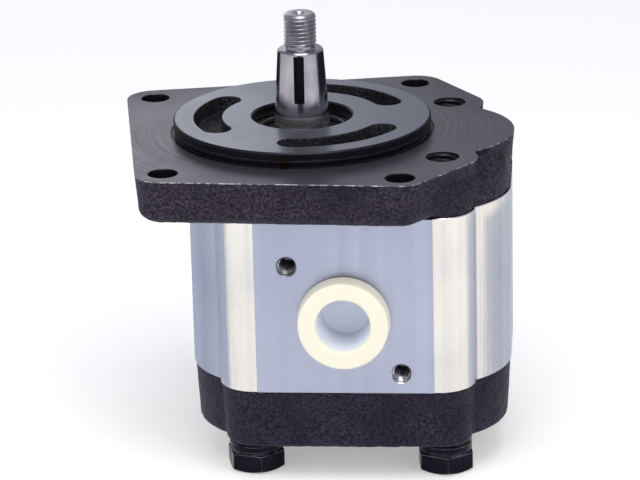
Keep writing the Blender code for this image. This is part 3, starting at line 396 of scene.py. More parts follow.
class Solid:
    """A mesh that is cut and joined with others before it is kept as a piece."""

    def __init__(self, mesh: bpy.types.Mesh, material: bpy.types.Material) -> None:
        """Wraps a mesh and gives all its faces one material."""
        mesh.materials.append(material)
        self.obj = linked(mesh.name, mesh)

    def combine(self, others: Sequence["Solid"], operation: str = "DIFFERENCE") -> "Solid":
        """Joins or cuts with other solids, which are used up. Cut faces keep the cutters' materials.

        Args:
            others: The other solids.
            operation: DIFFERENCE, UNION or INTERSECT.

        Returns:
            This solid.
        """
        for other in others:
            modifier = self.obj.modifiers.new(operation, "BOOLEAN")
            modifier.operation = operation
            modifier.solver = "EXACT"
            modifier.material_mode = "TRANSFER"
            modifier.object = other.obj
        graph = bpy.context.evaluated_depsgraph_get()
        mesh = bpy.data.meshes.new_from_object(self.obj.evaluated_get(graph))
        self.obj.modifiers.clear()
        old, self.obj.data = self.obj.data, mesh
        bpy.data.meshes.remove(old)
        for other in others:
            unused = other.obj.data
            bpy.data.objects.remove(other.obj)
            bpy.data.meshes.remove(unused)
        return self


# Shader effects shared by the finishes


class Nodes:
    """Adds and links the nodes of one shader tree."""

    def __init__(self, tree: bpy.types.NodeTree) -> None:
        """Takes the tree to fill."""
        self.tree = tree

    def add(self, kind: str, inputs: dict | None = None, **settings) -> bpy.types.Node:
        """A new node.

        Args:
            kind: Node type, without its ShaderNode prefix.
            inputs: Value or source socket of each input, by name or number.
            settings: The node's own properties.

        Returns:
            The node.
        """
        node = self.tree.nodes.new("ShaderNode" + kind)
        for key, value in settings.items():
            setattr(node, key, value)
        for key, value in (inputs or {}).items():
            if isinstance(value, Socket):
                self.link(value, node.inputs[key])
            else:
                node.inputs[key].default_value = value
        return node

    def link(self, source: Socket, target: Socket) -> None:
        """Links two sockets."""
        self.tree.links.new(source, target)

    def math(self, operation: str, *values) -> Socket:
        """The result of a maths node on numbers or sockets."""
        return self.add("Math", dict(enumerate(values)), operation=operation).outputs[0]

    def vector(self, operation: str, *values, result: str = "Vector") -> Socket:
        """A result of a vector maths node on vectors or sockets."""
        return self.add("VectorMath", dict(enumerate(values)), operation=operation).outputs[result]

    def ramp(self, source: Socket, low: float, high: float) -> Socket:
        """The source remapped so that low gives 0 and high gives 1, held between them."""
        inputs = {"Value": source, "From Min": low, "From Max": high}
        return self.add("MapRange", inputs, clamp=True).outputs["Result"]

    def mix(self, factor: Socket, first: Color | Socket, second: Color | Socket) -> Socket:
        """A colour mixed from two others."""
        ends = {n: c if isinstance(c, Socket) else (*c, 1.0) for n, c in ((6, first), (7, second))}
        return self.add("Mix", {0: factor, **ends}, data_type="RGBA").outputs[2]

    def noise(
        self, vector: Socket, scale: float | Socket, detail: float = 3.0, rough: float = 0.55
    ) -> Socket:
        """The value of a noise texture at a vector."""
        inputs = {"Vector": vector, "Scale": scale, "Detail": detail, "Roughness": rough}
        return self.add("TexNoise", inputs).outputs[0]

    def place(self) -> Socket:
        """The surface point in the object's own space."""
        return self.add("TexCoord").outputs["Object"]

    def effect(self, tree: bpy.types.NodeTree, **inputs: float) -> dict[str, Socket]:
        """Places a shared effect.

        Args:
            tree: The effect.
            inputs: Values of its inputs, with underscores for the spaces in their names.

        Returns:
            Its output sockets, by name.
        """
        node = self.add("Group", node_tree=tree)
        for key, value in inputs.items():
            node.inputs[key.replace("_", " ")].default_value = value
        return {socket.name: socket for socket in node.outputs}


class Effect(Nodes):
    """A shared shader node group while it is built."""

    def __init__(self, name: str, outputs: Sequence[str], **inputs: float) -> None:
        """Starts the group with its number sockets.

        Args:
            name: The group's name.
            outputs: Names of its outputs.
            inputs: Usual values of its inputs, with underscores for the spaces in their names.
        """
        super().__init__(bpy.data.node_groups.new(name, "ShaderNodeTree"))
        new_socket = self.tree.interface.new_socket
        for key, value in inputs.items():
            socket = new_socket(key.replace("_", " "), in_out="INPUT", socket_type="NodeSocketFloat")
            socket.default_value = value
        for key in outputs:
            new_socket(key, in_out="OUTPUT", socket_type="NodeSocketFloat")
        self.given = self.tree.nodes.new("NodeGroupInput").outputs
        self.end = self.tree.nodes.new("NodeGroupOutput").inputs

    def finish(self, **results: Socket) -> bpy.types.NodeTree:
        """Links the results to the group's outputs.

        Args:
            results: Socket of each output.

        Returns:
            The finished group.
        """
        for key, socket in results.items():
            self.link(socket, self.end[key])
        return self.tree


class Effects:
    """The shader node groups that several finishes share."""

    def __init__(self, datum: Vector) -> None:
        """Builds each group once.

        Args:
            datum: Where the drive axis meets the mounting face.
        """
        self.datum = datum
        self.edge_wear = self._edge_wear()
        self.cast_grain = self._cast_grain()
        self.turning_marks = self._turning_marks()
        self.draw_lines = self._draw_lines()
        self.film = self._film()
        self.stain = self._stain()

    def _edge_wear(self) -> bpy.types.NodeTree:
        """Mask of the convex and concave edges, broken up as handling wears them.

        Returns:
            The group.
        """
        group = Effect("edge wear", ["Mask"], Width=0.4 * MM, Breakup=400.0)
        rounded = group.add("Bevel", {"Radius": group.given["Width"]}, samples=6).outputs[0]
        flat = group.add("NewGeometry").outputs["Normal"]
        edge = group.ramp(group.vector("DOT_PRODUCT", rounded, flat, result="Value"), 0.995, 0.93)
        grain = group.noise(group.place(), group.given["Breakup"])
        return group.finish(Mask=group.math("MULTIPLY", edge, group.ramp(grain, 0.35, 0.6)))

    def _cast_grain(self) -> bpy.types.NodeTree:
        """Height of the grains, a mask of their raised crowns that finishes paint lighter as painted
        highlight, and a slow tone, as on a sand casting's skin.

        Returns:
            The group.
        """
        group = Effect("cast grain", ["Height", "Tops", "Tone"], Grain=1250.0)
        place = group.place()
        lumps = group.noise(place, group.given["Grain"], 2.0, 0.6)
        fine = group.noise(place, 3400.0, 3.0, 0.7)
        height = group.math("ADD", lumps, group.math("MULTIPLY", fine, 0.4))
        tone = group.noise(place, 60.0, 3.0, 0.5)
        return group.finish(Height=height, Tops=group.ramp(height, 0.55, 0.95), Tone=tone)

    def _turning_marks(self) -> bpy.types.NodeTree:
        """Fine rings round a vertical axis, as a facing cut leaves them.

        Returns:
            The group.
        """
        group = Effect("turning marks", ["Height", "Tone"], Axis_X=0.0, Axis_Y=0.0, Rings_per_metre=2500.0)
        centre = {"X": group.given["Axis X"], "Y": group.given["Axis Y"], "Z": 0.0}
        offset = group.vector("SUBTRACT", group.place(), group.add("CombineXYZ", centre).outputs[0])
        radius = group.vector("LENGTH", group.vector("MULTIPLY", offset, (1.0, 1.0, 0.0)), result="Value")
        position = group.math("MULTIPLY", radius, group.given["Rings per metre"])
        rings = group.add("TexNoise", {"W": position, "Scale": 1.0, "Detail": 2.0}, noise_dimensions="1D")
        broad = group.add("TexNoise", {"W": position, "Scale": 0.3, "Detail": 4.0}, noise_dimensions="1D")
        patches = group.ramp(group.noise(group.place(), 28.0, 2.0), 0.4, 0.62)
        tone = group.add("Mix", {0: patches, 2: 0.5, 3: broad.outputs[0]}, data_type="FLOAT").outputs[0]
        return group.finish(Height=rings.outputs[0], Tone=tone)

    def _draw_lines(self) -> bpy.types.NodeTree:
        """Streaks along Z, as a die leaves them on an extrusion.

        Returns:
            The group.
        """
        group = Effect("draw lines", ["Height", "Tone"], Fineness=1400.0)
        fineness = group.given["Fineness"]
        stretch = group.add("CombineXYZ", {"X": fineness, "Y": fineness, "Z": 14.0}).outputs[0]
        place = group.vector("MULTIPLY", group.place(), stretch)
        return group.finish(Height=group.noise(place, 1.0, 2.0), Tone=group.noise(place, 0.16, 3.0))

    def _film(self) -> bpy.types.NodeTree:
        """Mask of the patches that oil and handling leave.

        Returns:
            The group.
        """
        group = Effect("handling film", ["Mask"], Patches=45.0)
        patches = group.noise(group.place(), group.given["Patches"], 5.0, 0.6)
        return group.finish(Mask=group.ramp(patches, 0.42, 0.68))

    def _stain(self) -> bpy.types.NodeTree:
        """Mask of one small blot of old oil round a spot.

        Returns:
            The group.
        """
        group = Effect("oil stain", ["Mask"], Spot_X=0.0, Spot_Y=0.0, Spot_Z=0.0, Size=3.0 * MM)
        spot = group.add("CombineXYZ", {a: group.given["Spot " + a] for a in "XYZ"}).outputs[0]
        away = group.vector("DISTANCE", group.place(), spot, result="Value")
        ragged = group.math("MULTIPLY_ADD", group.noise(group.place(), 700.0), 1.5 * MM, away)
        reach = group.math("DIVIDE", ragged, group.given["Size"])
        return group.finish(Mask=group.ramp(reach, 1.15, 0.55))


# Finishes


def new_material(name: str) -> tuple[bpy.types.Material, Nodes, bpy.types.Node]:
    """A new material.

    Args:
        name: Its name.

    Returns:
        The material, its nodes and its Principled shader.
    """
    material = bpy.data.materials.new(name)
    material.use_nodes = True
    return material, Nodes(material.node_tree), material.node_tree.nodes["Principled BSDF"]


@dataclass(frozen=True)
class Finish:
    """A surface: its two tones, how rough it is and what its relief is like."""

    color: Color
    color_two: Color
    roughness: tuple[float, float]
    metallic: float = 1.0
    relief: float = 0.02 * MM
    SPECULAR: ClassVar[float] = 0.5

    def make(self, name: str, effects: Effects) -> bpy.types.Material:
        """Builds the material.

        Args:
            name: Its name.
            effects: The shared effects.

        Returns:
            The material.
        """
        material, nodes, shader = new_material(name)
        material.diffuse_color = (*self.color, 1.0)
        shader.inputs["Metallic"].default_value = self.metallic
        shader.inputs["Specular IOR Level"].default_value = self.SPECULAR
        color, rough, height = self.look(nodes, effects)
        low, high = self.roughness
        scaled = nodes.add("MapRange", {"Value": rough, "To Min": low, "To Max": high}).outputs["Result"]
        bump = nodes.add("Bump", {"Height": height, "Distance": self.relief, "Strength": 1.0}).outputs[0]
        nodes.link(color, shader.inputs["Base Color"])
        nodes.link(scaled, shader.inputs["Roughness"])
        nodes.link(bump, shader.inputs["Normal"])
        return material

    def look(self, nodes: Nodes, effects: Effects) -> Look:
        """What feeds the shader. Each kind of finish has its own.

        Args:
            nodes: The material's nodes.
            effects: The shared effects.

        Returns:
            Sockets of the colour, of a mask between the two roughness values and of the relief's height.
        """
        raise NotImplementedError


@dataclass(frozen=True)
class CastSkin(Finish):
    """Sand-cast iron, dark, with bumped grains whose crowns are painted lighter as highlight and whose
    hollows stay darker as painted shade, and worn edges.
    """

    worn: Color = (0.13, 0.12, 0.15)
    SPECULAR: ClassVar[float] = 0.12

    def look(self, nodes: Nodes, effects: Effects) -> Look:
        """Grain relief, crowns painted lighter as highlight and hollows darker as shade, and lighter worn
        edges, as Finish.look describes them.

        Args:
            nodes: The material's nodes.
            effects: The shared effects.

        Returns:
            Sockets of the colour, the roughness mask and the relief.
        """
        grain = nodes.effect(effects.cast_grain)
        wear = nodes.effect(effects.edge_wear, Width=0.45 * MM, Breakup=700.0)
        # Painted highlight and painted shade: the raised grains take the lighter colour and the hollows the
        # darker one, varied by the slow random tone.
        grain_highlight = nodes.math("MULTIPLY", grain["Tops"], nodes.ramp(grain["Tone"], 0.15, 0.6))
        tone = nodes.mix(grain_highlight, self.color, self.color_two)
        lit = nodes.math("MULTIPLY", wear["Mask"], 0.5)
        return nodes.mix(lit, tone, self.worn), grain["Tone"], grain["Height"]


@dataclass(frozen=True)
class FacedIron(Finish):
    """A machined iron face with rings round the drive axis, a thin film and bright edges."""

    rings: float = 2500.0
    edge: Color = (0.75, 0.75, 0.80)
    OIL: ClassVar[Color] = (0.030, 0.021, 0.006)
    OIL_SPOT: ClassVar[Spot] = (-2.2 * MM, -39.6 * MM, 0.9 * MM)

    def look(self, nodes: Nodes, effects: Effects) -> Look:
        """Rings, patches of film, bright edges and one old blot of oil at the pilot's foot.

        Args:
            nodes: The material's nodes.
            effects: The shared effects.

        Returns:
            Sockets of the colour, the roughness mask and the relief.
        """
        axis = {"Axis_X": effects.datum.x, "Axis_Y": effects.datum.y}
        marks = nodes.effect(effects.turning_marks, Rings_per_metre=self.rings, **axis)
        film = nodes.effect(effects.film, Patches=38.0)
        wear = nodes.effect(effects.edge_wear, Width=0.35 * MM, Breakup=300.0)
        bands = nodes.math("MULTIPLY", nodes.ramp(marks["Tone"], 0.3, 0.7), 0.6)
        share = nodes.math("ADD", bands, nodes.math("MULTIPLY", film["Mask"], 0.4))
        tone = nodes.mix(share, self.color, self.color_two)
        color = nodes.mix(nodes.math("MULTIPLY", wear["Mask"], 0.7), tone, self.edge)
        x, y, z = effects.datum + Vector(self.OIL_SPOT)
        stain = nodes.effect(effects.stain, Spot_X=x, Spot_Y=y, Spot_Z=z)
        return nodes.mix(stain["Mask"], color, self.OIL), share, marks["Height"]


@dataclass(frozen=True)
class ChippedEdge(Finish):
    """The thin rim between a faced side and a cast one, bright where it is chipped."""

    def look(self, nodes: Nodes, effects: Effects) -> Look:
        """Bright chips between dull stretches.

        Args:
            nodes: The material's nodes.
            effects: The shared effects.

        Returns:
            Sockets of the colour, the roughness mask and the relief.
        """
        grain = nodes.effect(effects.cast_grain, Grain=600.0)
        chips = nodes.ramp(nodes.noise(nodes.place(), 420.0, 3.0, 0.7), 0.46, 0.6)
        return nodes.mix(chips, self.color, self.color_two), chips, grain["Height"]


@dataclass(frozen=True)
class DrawnMetal(Finish):
    """Extruded aluminium with fine lengthwise lines and a few handling marks."""

    def look(self, nodes: Nodes, effects: Effects) -> Look:
        """Lines, slow tone changes and patches of film.

        Args:
            nodes: The material's nodes.
            effects: The shared effects.

        Returns:
            Sockets of the colour, the roughness mask and the relief.
        """
        lines = nodes.effect(effects.draw_lines)
        film = nodes.effect(effects.film, Patches=30.0)
        streaks = nodes.math("MULTIPLY", nodes.ramp(lines["Tone"], 0.3, 0.7), 0.6)
        share = nodes.math("ADD", streaks, nodes.math("MULTIPLY", film["Mask"], 0.4))
        return nodes.mix(share, self.color, self.color_two), share, lines["Height"]


@dataclass(frozen=True)
class GroundMetal(Finish):
    """Turned or ground metal with fine bands across a vertical axis."""

    def look(self, nodes: Nodes, effects: Effects) -> Look:
        """Bands across the axis, film and bright edges.

        Args:
            nodes: The material's nodes.
            effects: The shared effects.

        Returns:
            Sockets of the colour, the roughness mask and the relief.
        """
        bands = nodes.noise(nodes.vector("MULTIPLY", nodes.place(), (60.0, 60.0, 5200.0)), 1.0, 2.0)
        film = nodes.effect(effects.film, Patches=120.0)
        wear = nodes.effect(effects.edge_wear, Width=0.2 * MM, Breakup=500.0)
        tone = nodes.mix(film["Mask"], self.color, self.color_two)
        bright = tuple(min(1.0, c * 1.6) for c in self.color)
        color = nodes.mix(nodes.math("MULTIPLY", wear["Mask"], 0.6), tone, bright)
        return color, film["Mask"], bands


@dataclass(frozen=True)
class Blackened(Finish):
    """Black oxide on steel, rubbed through to bright metal at its edges."""

    bare: Color = (0.30, 0.29, 0.35)
    SPECULAR: ClassVar[float] = 0.15

    def look(self, nodes: Nodes, effects: Effects) -> Look:
        """Slight mottling and strongly worn edges.

        Args:
            nodes: The material's nodes.
            effects: The shared effects.

        Returns:
            Sockets of the colour, the roughness mask and the relief.
        """
        grain = nodes.effect(effects.cast_grain, Grain=900.0)
        film = nodes.effect(effects.film, Patches=160.0)
        wear = nodes.effect(effects.edge_wear, Width=0.35 * MM, Breakup=260.0)
        tone = nodes.mix(film["Mask"], self.color, self.color_two)
        return nodes.mix(wear["Mask"], tone, self.bare), film["Mask"], grain["Height"]


@dataclass(frozen=True)
class Moulded(Finish):
    """Moulded plastic or rubber, faintly mottled, which may let some light in."""

    translucency: float = 0.0

    def make(self, name: str, effects: Effects) -> bpy.types.Material:
        """Builds the material and, where it is translucent, lets light scatter below the surface.

        Args:
            name: Its name.
            effects: The shared effects.

        Returns:
            The material.
        """
        material = super().make(name, effects)
        if self.translucency:
            inputs = material.node_tree.nodes["Principled BSDF"].inputs
            inputs["Subsurface Weight"].default_value = self.translucency
            inputs["Subsurface Radius"].default_value = (1.0, 0.85, 0.6)
            inputs["Subsurface Scale"].default_value = 1.6 * MM
        return material

    def look(self, nodes: Nodes, effects: Effects) -> Look:
        """Mottled colour and soft relief.

        Args:
            nodes: The material's nodes.
            effects: The shared effects.

        Returns:
            Sockets of the colour, the roughness mask and the relief.
        """
        film = nodes.effect(effects.film, Patches=150.0)
        fine = nodes.noise(nodes.place(), 900.0, 3.0)
        return nodes.mix(film["Mask"], self.color, self.color_two), film["Mask"], fine


class Surface(Enum):
    """The finishes that the pump's pieces wear."""

    FLANGE_CAST = "flange casting"
    COVER_CAST = "cover casting"
    POCKET_CAST = "pocket casting"
    RIM = "chipped rim"
    FACED = "faced iron"
    PILOT = "turned pilot"
    PILOT_WALL_SHADE = "pilot wall painted shade"
    BORED_SHADE = "bored iron painted shade"
    DRAWN_HIGHLIGHT = "drawn aluminium painted highlight"
    FLAT = "milled flat painted reflection"
    MILLED = "milled aluminium"
    TAPPED = "tapped aluminium"
    GROUND = "ground steel"
    LIT_JOURNAL = "journal painted light"
    KEYWAY_SHADE = "keyway painted shade"
    THREADED = "cut thread"
    BEARING_STEEL = "bearing steel"
    SPRING = "spring steel"
    BLACK = "black oxide"
    BRONZE = "bearing bronze"
    RUBBER = "seal rubber"
    PLUG = "plug plastic"
    PLUG_HOLLOW_SHADE = "plug hollow painted shade"


FINISHES: dict[Surface, Finish] = {
    Surface.FLANGE_CAST: CastSkin(
        (0.010, 0.0075, 0.016), (0.082, 0.070, 0.104), (0.38, 0.55), 0.15, 0.45 * MM
    ),
    Surface.COVER_CAST: CastSkin(
        (0.008, 0.0058, 0.015), (0.060, 0.050, 0.086), (0.36, 0.52), 0.15, 0.45 * MM
    ),
    Surface.POCKET_CAST: CastSkin(
        (0.009, 0.008, 0.011), (0.095, 0.090, 0.105), (0.25, 0.45), 0.4, 0.35 * MM
    ),
    Surface.RIM: ChippedEdge((0.10, 0.095, 0.12), (0.62, 0.62, 0.66), (0.5, 0.3), 0.7),
    Surface.FACED: FacedIron((0.185, 0.18, 0.21), (0.12, 0.113, 0.137), (0.30, 0.42), 0.85, 0.006 * MM),
    Surface.PILOT: FacedIron(
        (0.27, 0.28, 0.32), (0.23, 0.24, 0.28), (0.28, 0.36), 0.9, 0.003 * MM, 3600.0, (0.34, 0.34, 0.38)
    ),
    # Painted shade: the pilot's turned wall is coloured near black, far darker than its face of the same
    # iron.
    Surface.PILOT_WALL_SHADE: FacedIron(
        (0.034, 0.029, 0.040), (0.015, 0.012, 0.018), (0.3, 0.45), 0.9, 0.02 * MM, edge=(0.16, 0.155, 0.18)
    ),
    # Painted shade: bores and holes are coloured near black, far darker than the faced iron they are cut in.
    Surface.BORED_SHADE: GroundMetal((0.035, 0.033, 0.040), (0.012, 0.012, 0.014), (0.3, 0.5), 0.8, 0.010 * MM),
    # Painted highlight: the extrusion's rounded walls are coloured warm cream, well above the flats, standing
    # in for the warm highlight strips along its corners.
    Surface.DRAWN_HIGHLIGHT: DrawnMetal((0.80, 0.77, 0.70), (0.58, 0.575, 0.59), (0.22, 0.32), 1.0, 0.10 * MM),
    # Painted reflection: the body's flats are coloured a dark blue-grey, well below bare aluminium, standing
    # in for the darker surround they reflect.
    Surface.FLAT: DrawnMetal((0.425, 0.455, 0.575), (0.37, 0.40, 0.515), (0.30, 0.38), 1.0, 0.020 * MM),
    Surface.MILLED: GroundMetal((0.60, 0.61, 0.66), (0.50, 0.51, 0.56), (0.25, 0.4), 1.0, 0.004 * MM),
    Surface.TAPPED: GroundMetal((0.62, 0.61, 0.64), (0.26, 0.25, 0.28), (0.2, 0.35), 1.0, 0.006 * MM),
    Surface.GROUND: GroundMetal((0.38, 0.365, 0.40), (0.31, 0.30, 0.34), (0.16, 0.24), 1.0, 0.003 * MM),
    # Painted light: the journal below the taper is coloured far brighter than the rest of the shaft's steel,
    # so that it reads lit down in the dark bore.
    Surface.LIT_JOURNAL: GroundMetal((0.92, 0.89, 0.92), (0.82, 0.80, 0.84), (0.20, 0.28), 0.95, 0.003 * MM),
    # Painted shade: the keyway is coloured near black, far darker than the shaft's steel.
    Surface.KEYWAY_SHADE: GroundMetal((0.012, 0.011, 0.014), (0.006, 0.006, 0.008), (0.4, 0.6), 0.5, 0.006 * MM),
    Surface.THREADED: GroundMetal((0.50, 0.49, 0.53), (0.34, 0.33, 0.37), (0.26, 0.40), 1.0, 0.004 * MM),
    Surface.BEARING_STEEL: GroundMetal((0.48, 0.48, 0.50), (0.42, 0.42, 0.44), (0.2, 0.3), 1.0, 0.002 * MM),
    Surface.SPRING: GroundMetal((0.62, 0.60, 0.60), (0.32, 0.31, 0.32), (0.2, 0.34), 1.0, 0.003 * MM),
    Surface.BLACK: Blackened((0.004, 0.003, 0.008), (0.010, 0.008, 0.019), (0.26, 0.42), 0.5, 0.06 * MM),
    Surface.BRONZE: GroundMetal((0.45, 0.28, 0.13), (0.36, 0.22, 0.10), (0.3, 0.45), 1.0, 0.004 * MM),
    Surface.RUBBER: Moulded((0.010, 0.010, 0.011), (0.018, 0.018, 0.019), (0.42, 0.6), 0.0, 0.01 * MM),
    Surface.PLUG: Moulded((0.95, 0.92, 0.77), (0.93, 0.90, 0.75), (0.38, 0.5), 0.0, 0.006 * MM, 0.3),
    # Painted shade: the cup's hollow is coloured a cool blue-white instead of the cream of the plastic,
    # standing in for the shade inside it.
    Surface.PLUG_HOLLOW_SHADE: Moulded((0.86, 0.90, 0.97), (0.82, 0.86, 0.95), (0.42, 0.55), 0.0, 0.006 * MM),
}


class Palette:
    """Makes every finish once and hands out its material."""

    def __init__(self, datum: Vector) -> None:
        """Builds the shared effects and the materials, with the drive axis through the datum."""
        effects = Effects(datum)
        self._materials = {surface: look.make(surface.value, effects) for surface, look in FINISHES.items()}

    def __getitem__(self, surface: Surface) -> bpy.types.Material:
        """The material of a surface."""
        return self._materials[surface]

    def dress(self, nodes: Iterable[str], surface: Surface) -> None:
        """Gives carried-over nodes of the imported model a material.

        Args:
            nodes: Names of the nodes.
            surface: The finish.
        """
        for name in nodes:
            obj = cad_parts[name]
            obj.data.materials.clear()
            obj.data.materials.append(self[surface])
            LOG.info("%s: %s", name, surface.value)


# Sub-assemblies


@dataclass
class PumpLayout:
    """Places and sizes that several sub-assemblies share."""

    datum: Vector
    gear_centres: float = 30.0 * MM
    seam: float = 0.3 * MM
    flange_thickness: float = 13.9 * MM
    pilot_height: float = 4.6 * MM
    bolt_half_x: float = 29.35 * MM
    bolt_half_y: float = 28.5 * MM
    bolt_end_z: float = -5.0 * MM
    body_half_depth: float = 45.0 * MM
    port_z: float = -46.4 * MM
    overshoot: float = 2.0 * MM

    @property
    def middle_x(self) -> float:
        """X of the plane midway between the gears."""
        return self.gear_centres / 2

    def bolt_centres(self) -> dict[str, Point]:
        """Centre of each body bolt.

        Returns:
            The centres, by the bolt's name.
        """
        signs = {"front_left": (-1, -1), "front_right": (1, -1), "back_right": (1, 1), "back_left": (-1, 1)}
        x, y = self.bolt_half_x, self.bolt_half_y
        return {label: (self.middle_x + a * x, b * y) for label, (a, b) in signs.items()}

    def body_circles(self) -> list[Circle]:
        """The circles of the body's outline, anticlockwise from the front right corner.

        Returns:
            The chain for rounded_outline.
        """
        corner = (28.0 * MM, -33.5 * MM, 11.1 * MM)
        flank = (22.0 * MM, -12.0 * MM, 27.4 * MM)
        front = [corner, valley_circle(corner, flank, 1.6 * MM), flank]
        right = front + [(x, -y, r) for x, y, r in reversed(front)]
        return [(self.middle_x + x, y, r) for x, y, r in right + [(-x, -y, r) for x, y, r in right]]

    def body_levels(self) -> tuple[float, float]:
        """Top and bottom of the aluminium body."""
        low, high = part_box("pump_body")
        return high.z - self.datum.z, low.z - self.datum.z


def wall_sections(
    circles: Sequence[Circle],
    levels: Sequence[tuple[float, float]],
    step: float,
    spacing: float,
) -> list[tuple[float, Outline]]:
    """Sections of a wall that follows one chain of circles.

    Args:
        circles: The chain.
        levels: (z, inset) of each section, bottom to top.
        step: Largest angle between points of an arc.
        spacing: Largest distance between points on the straight stretches.

    Returns:
        The sections for loft.
    """
    guide = rounded_outline(circles, 0.0, step)
    return [(z, subdivided(rounded_outline(circles, inset, step), guide, spacing)) for z, inset in levels]


def rounded_levels(
    bottom: float, top: float, draft: float, low_radius: float, top_radius: float, spacing: float
) -> list[tuple[float, float]]:
    """Heights and insets of a drafted wall with rounded lower and upper edges.

    Args:
        bottom: Height of the underside.
        top: Height of the upper side.
        draft: How far the wall leans in from top to bottom.
        low_radius: Radius of the lower edge.
        top_radius: Radius of the upper edge.
        spacing: Largest step in height.

    Returns:
        (z, inset) pairs, bottom to top.
    """
    levels = []
    low_steps, top_steps = 6, 3
    for i in range(low_steps + 1):
        angle = math.pi / 2 * i / low_steps
        z = bottom + low_radius * (1 - math.cos(angle))
        levels.append((z, draft + low_radius * (1 - math.sin(angle))))
    rise = top - top_radius - bottom - low_radius
    count = math.ceil(rise / spacing)
    levels += [(bottom + low_radius + rise * i / count, draft * (1 - i / count)) for i in range(1, count + 1)]
    for i in range(1, top_steps + 1):
        angle = math.pi / 2 * i / top_steps
        levels.append((top - top_radius * (1 - math.sin(angle)), top_radius * (1 - math.cos(angle))))
    return levels


def cast_wall(
    circles: Sequence[Circle],
    levels: Sequence[Point],
    name: str,
    skin: tuple[float, float, float],
    top: float,
) -> bpy.types.Mesh:
    """A sand-cast wall round a chain of circles.

    Args:
        circles: The chain.
        levels: (z, inset) of each section, bottom to top.
        name: Name of the mesh.
        skin: Depth, size and seed of the skin's pits.
        top: Height from which the surface is machined.

    Returns:
        The closed mesh.
    """
    depth, size, seed = skin
    sections = wall_sections(circles, levels, math.radians(4), CAST_SPACING)
    return roughened(loft(sections, name), depth, size, top, seed)


@dataclass
class SubAssembly:
    """What every sub-assembly has: the layout, the finishes and a way to place its pieces."""

    layout: PumpLayout
    palette: Palette

    def solid(self, mesh: bpy.types.Mesh, surface: Surface, *others: tuple[Surface, FaceRule]) -> Solid:
        """Makes a solid of a mesh.

        Args:
            mesh: The mesh.
            surface: Its finish.
            others: Other finishes, each with the rule that picks its faces.

        Returns:
            The solid.
        """
        solid = Solid(mesh, self.palette[surface])
        for slot, (other, rule) in enumerate(others, 1):
            mesh.materials.append(self.palette[other])
            for face in mesh.polygons:
                if rule(face):
                    face.material_index = slot
        return solid

    def keep(
        self,
        solid: Solid,
        name: str,
        node: str,
        body: str,
        slot: str,
        sharp: float = 32.0,
        at: Spot = (0.0, 0.0, 0.0),
    ) -> None:
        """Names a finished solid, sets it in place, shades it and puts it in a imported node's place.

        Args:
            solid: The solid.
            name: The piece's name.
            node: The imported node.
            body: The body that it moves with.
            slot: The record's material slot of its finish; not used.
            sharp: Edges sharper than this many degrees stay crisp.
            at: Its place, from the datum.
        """
        obj, mesh = solid.obj, solid.obj.data
        mesh.transform(Matrix.Translation(self.layout.datum + Vector(at)))
        mesh.shade_smooth()
        mesh.set_sharp_from_angle(angle=math.radians(sharp))
        weighted = obj.modifiers.new("flat faces stay flat", "WEIGHTED_NORMAL")
        weighted.keep_sharp = True
        obj.name = mesh.name = name
        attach(obj, body)
        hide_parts(node)
        LOG.info("%s: %d faces", name, len(mesh.polygons))

    def heights(self, node: str) -> tuple[float, float]:
        """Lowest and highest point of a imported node, from the datum."""
        low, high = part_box(node)
        return low.z - self.layout.datum.z, high.z - self.layout.datum.z


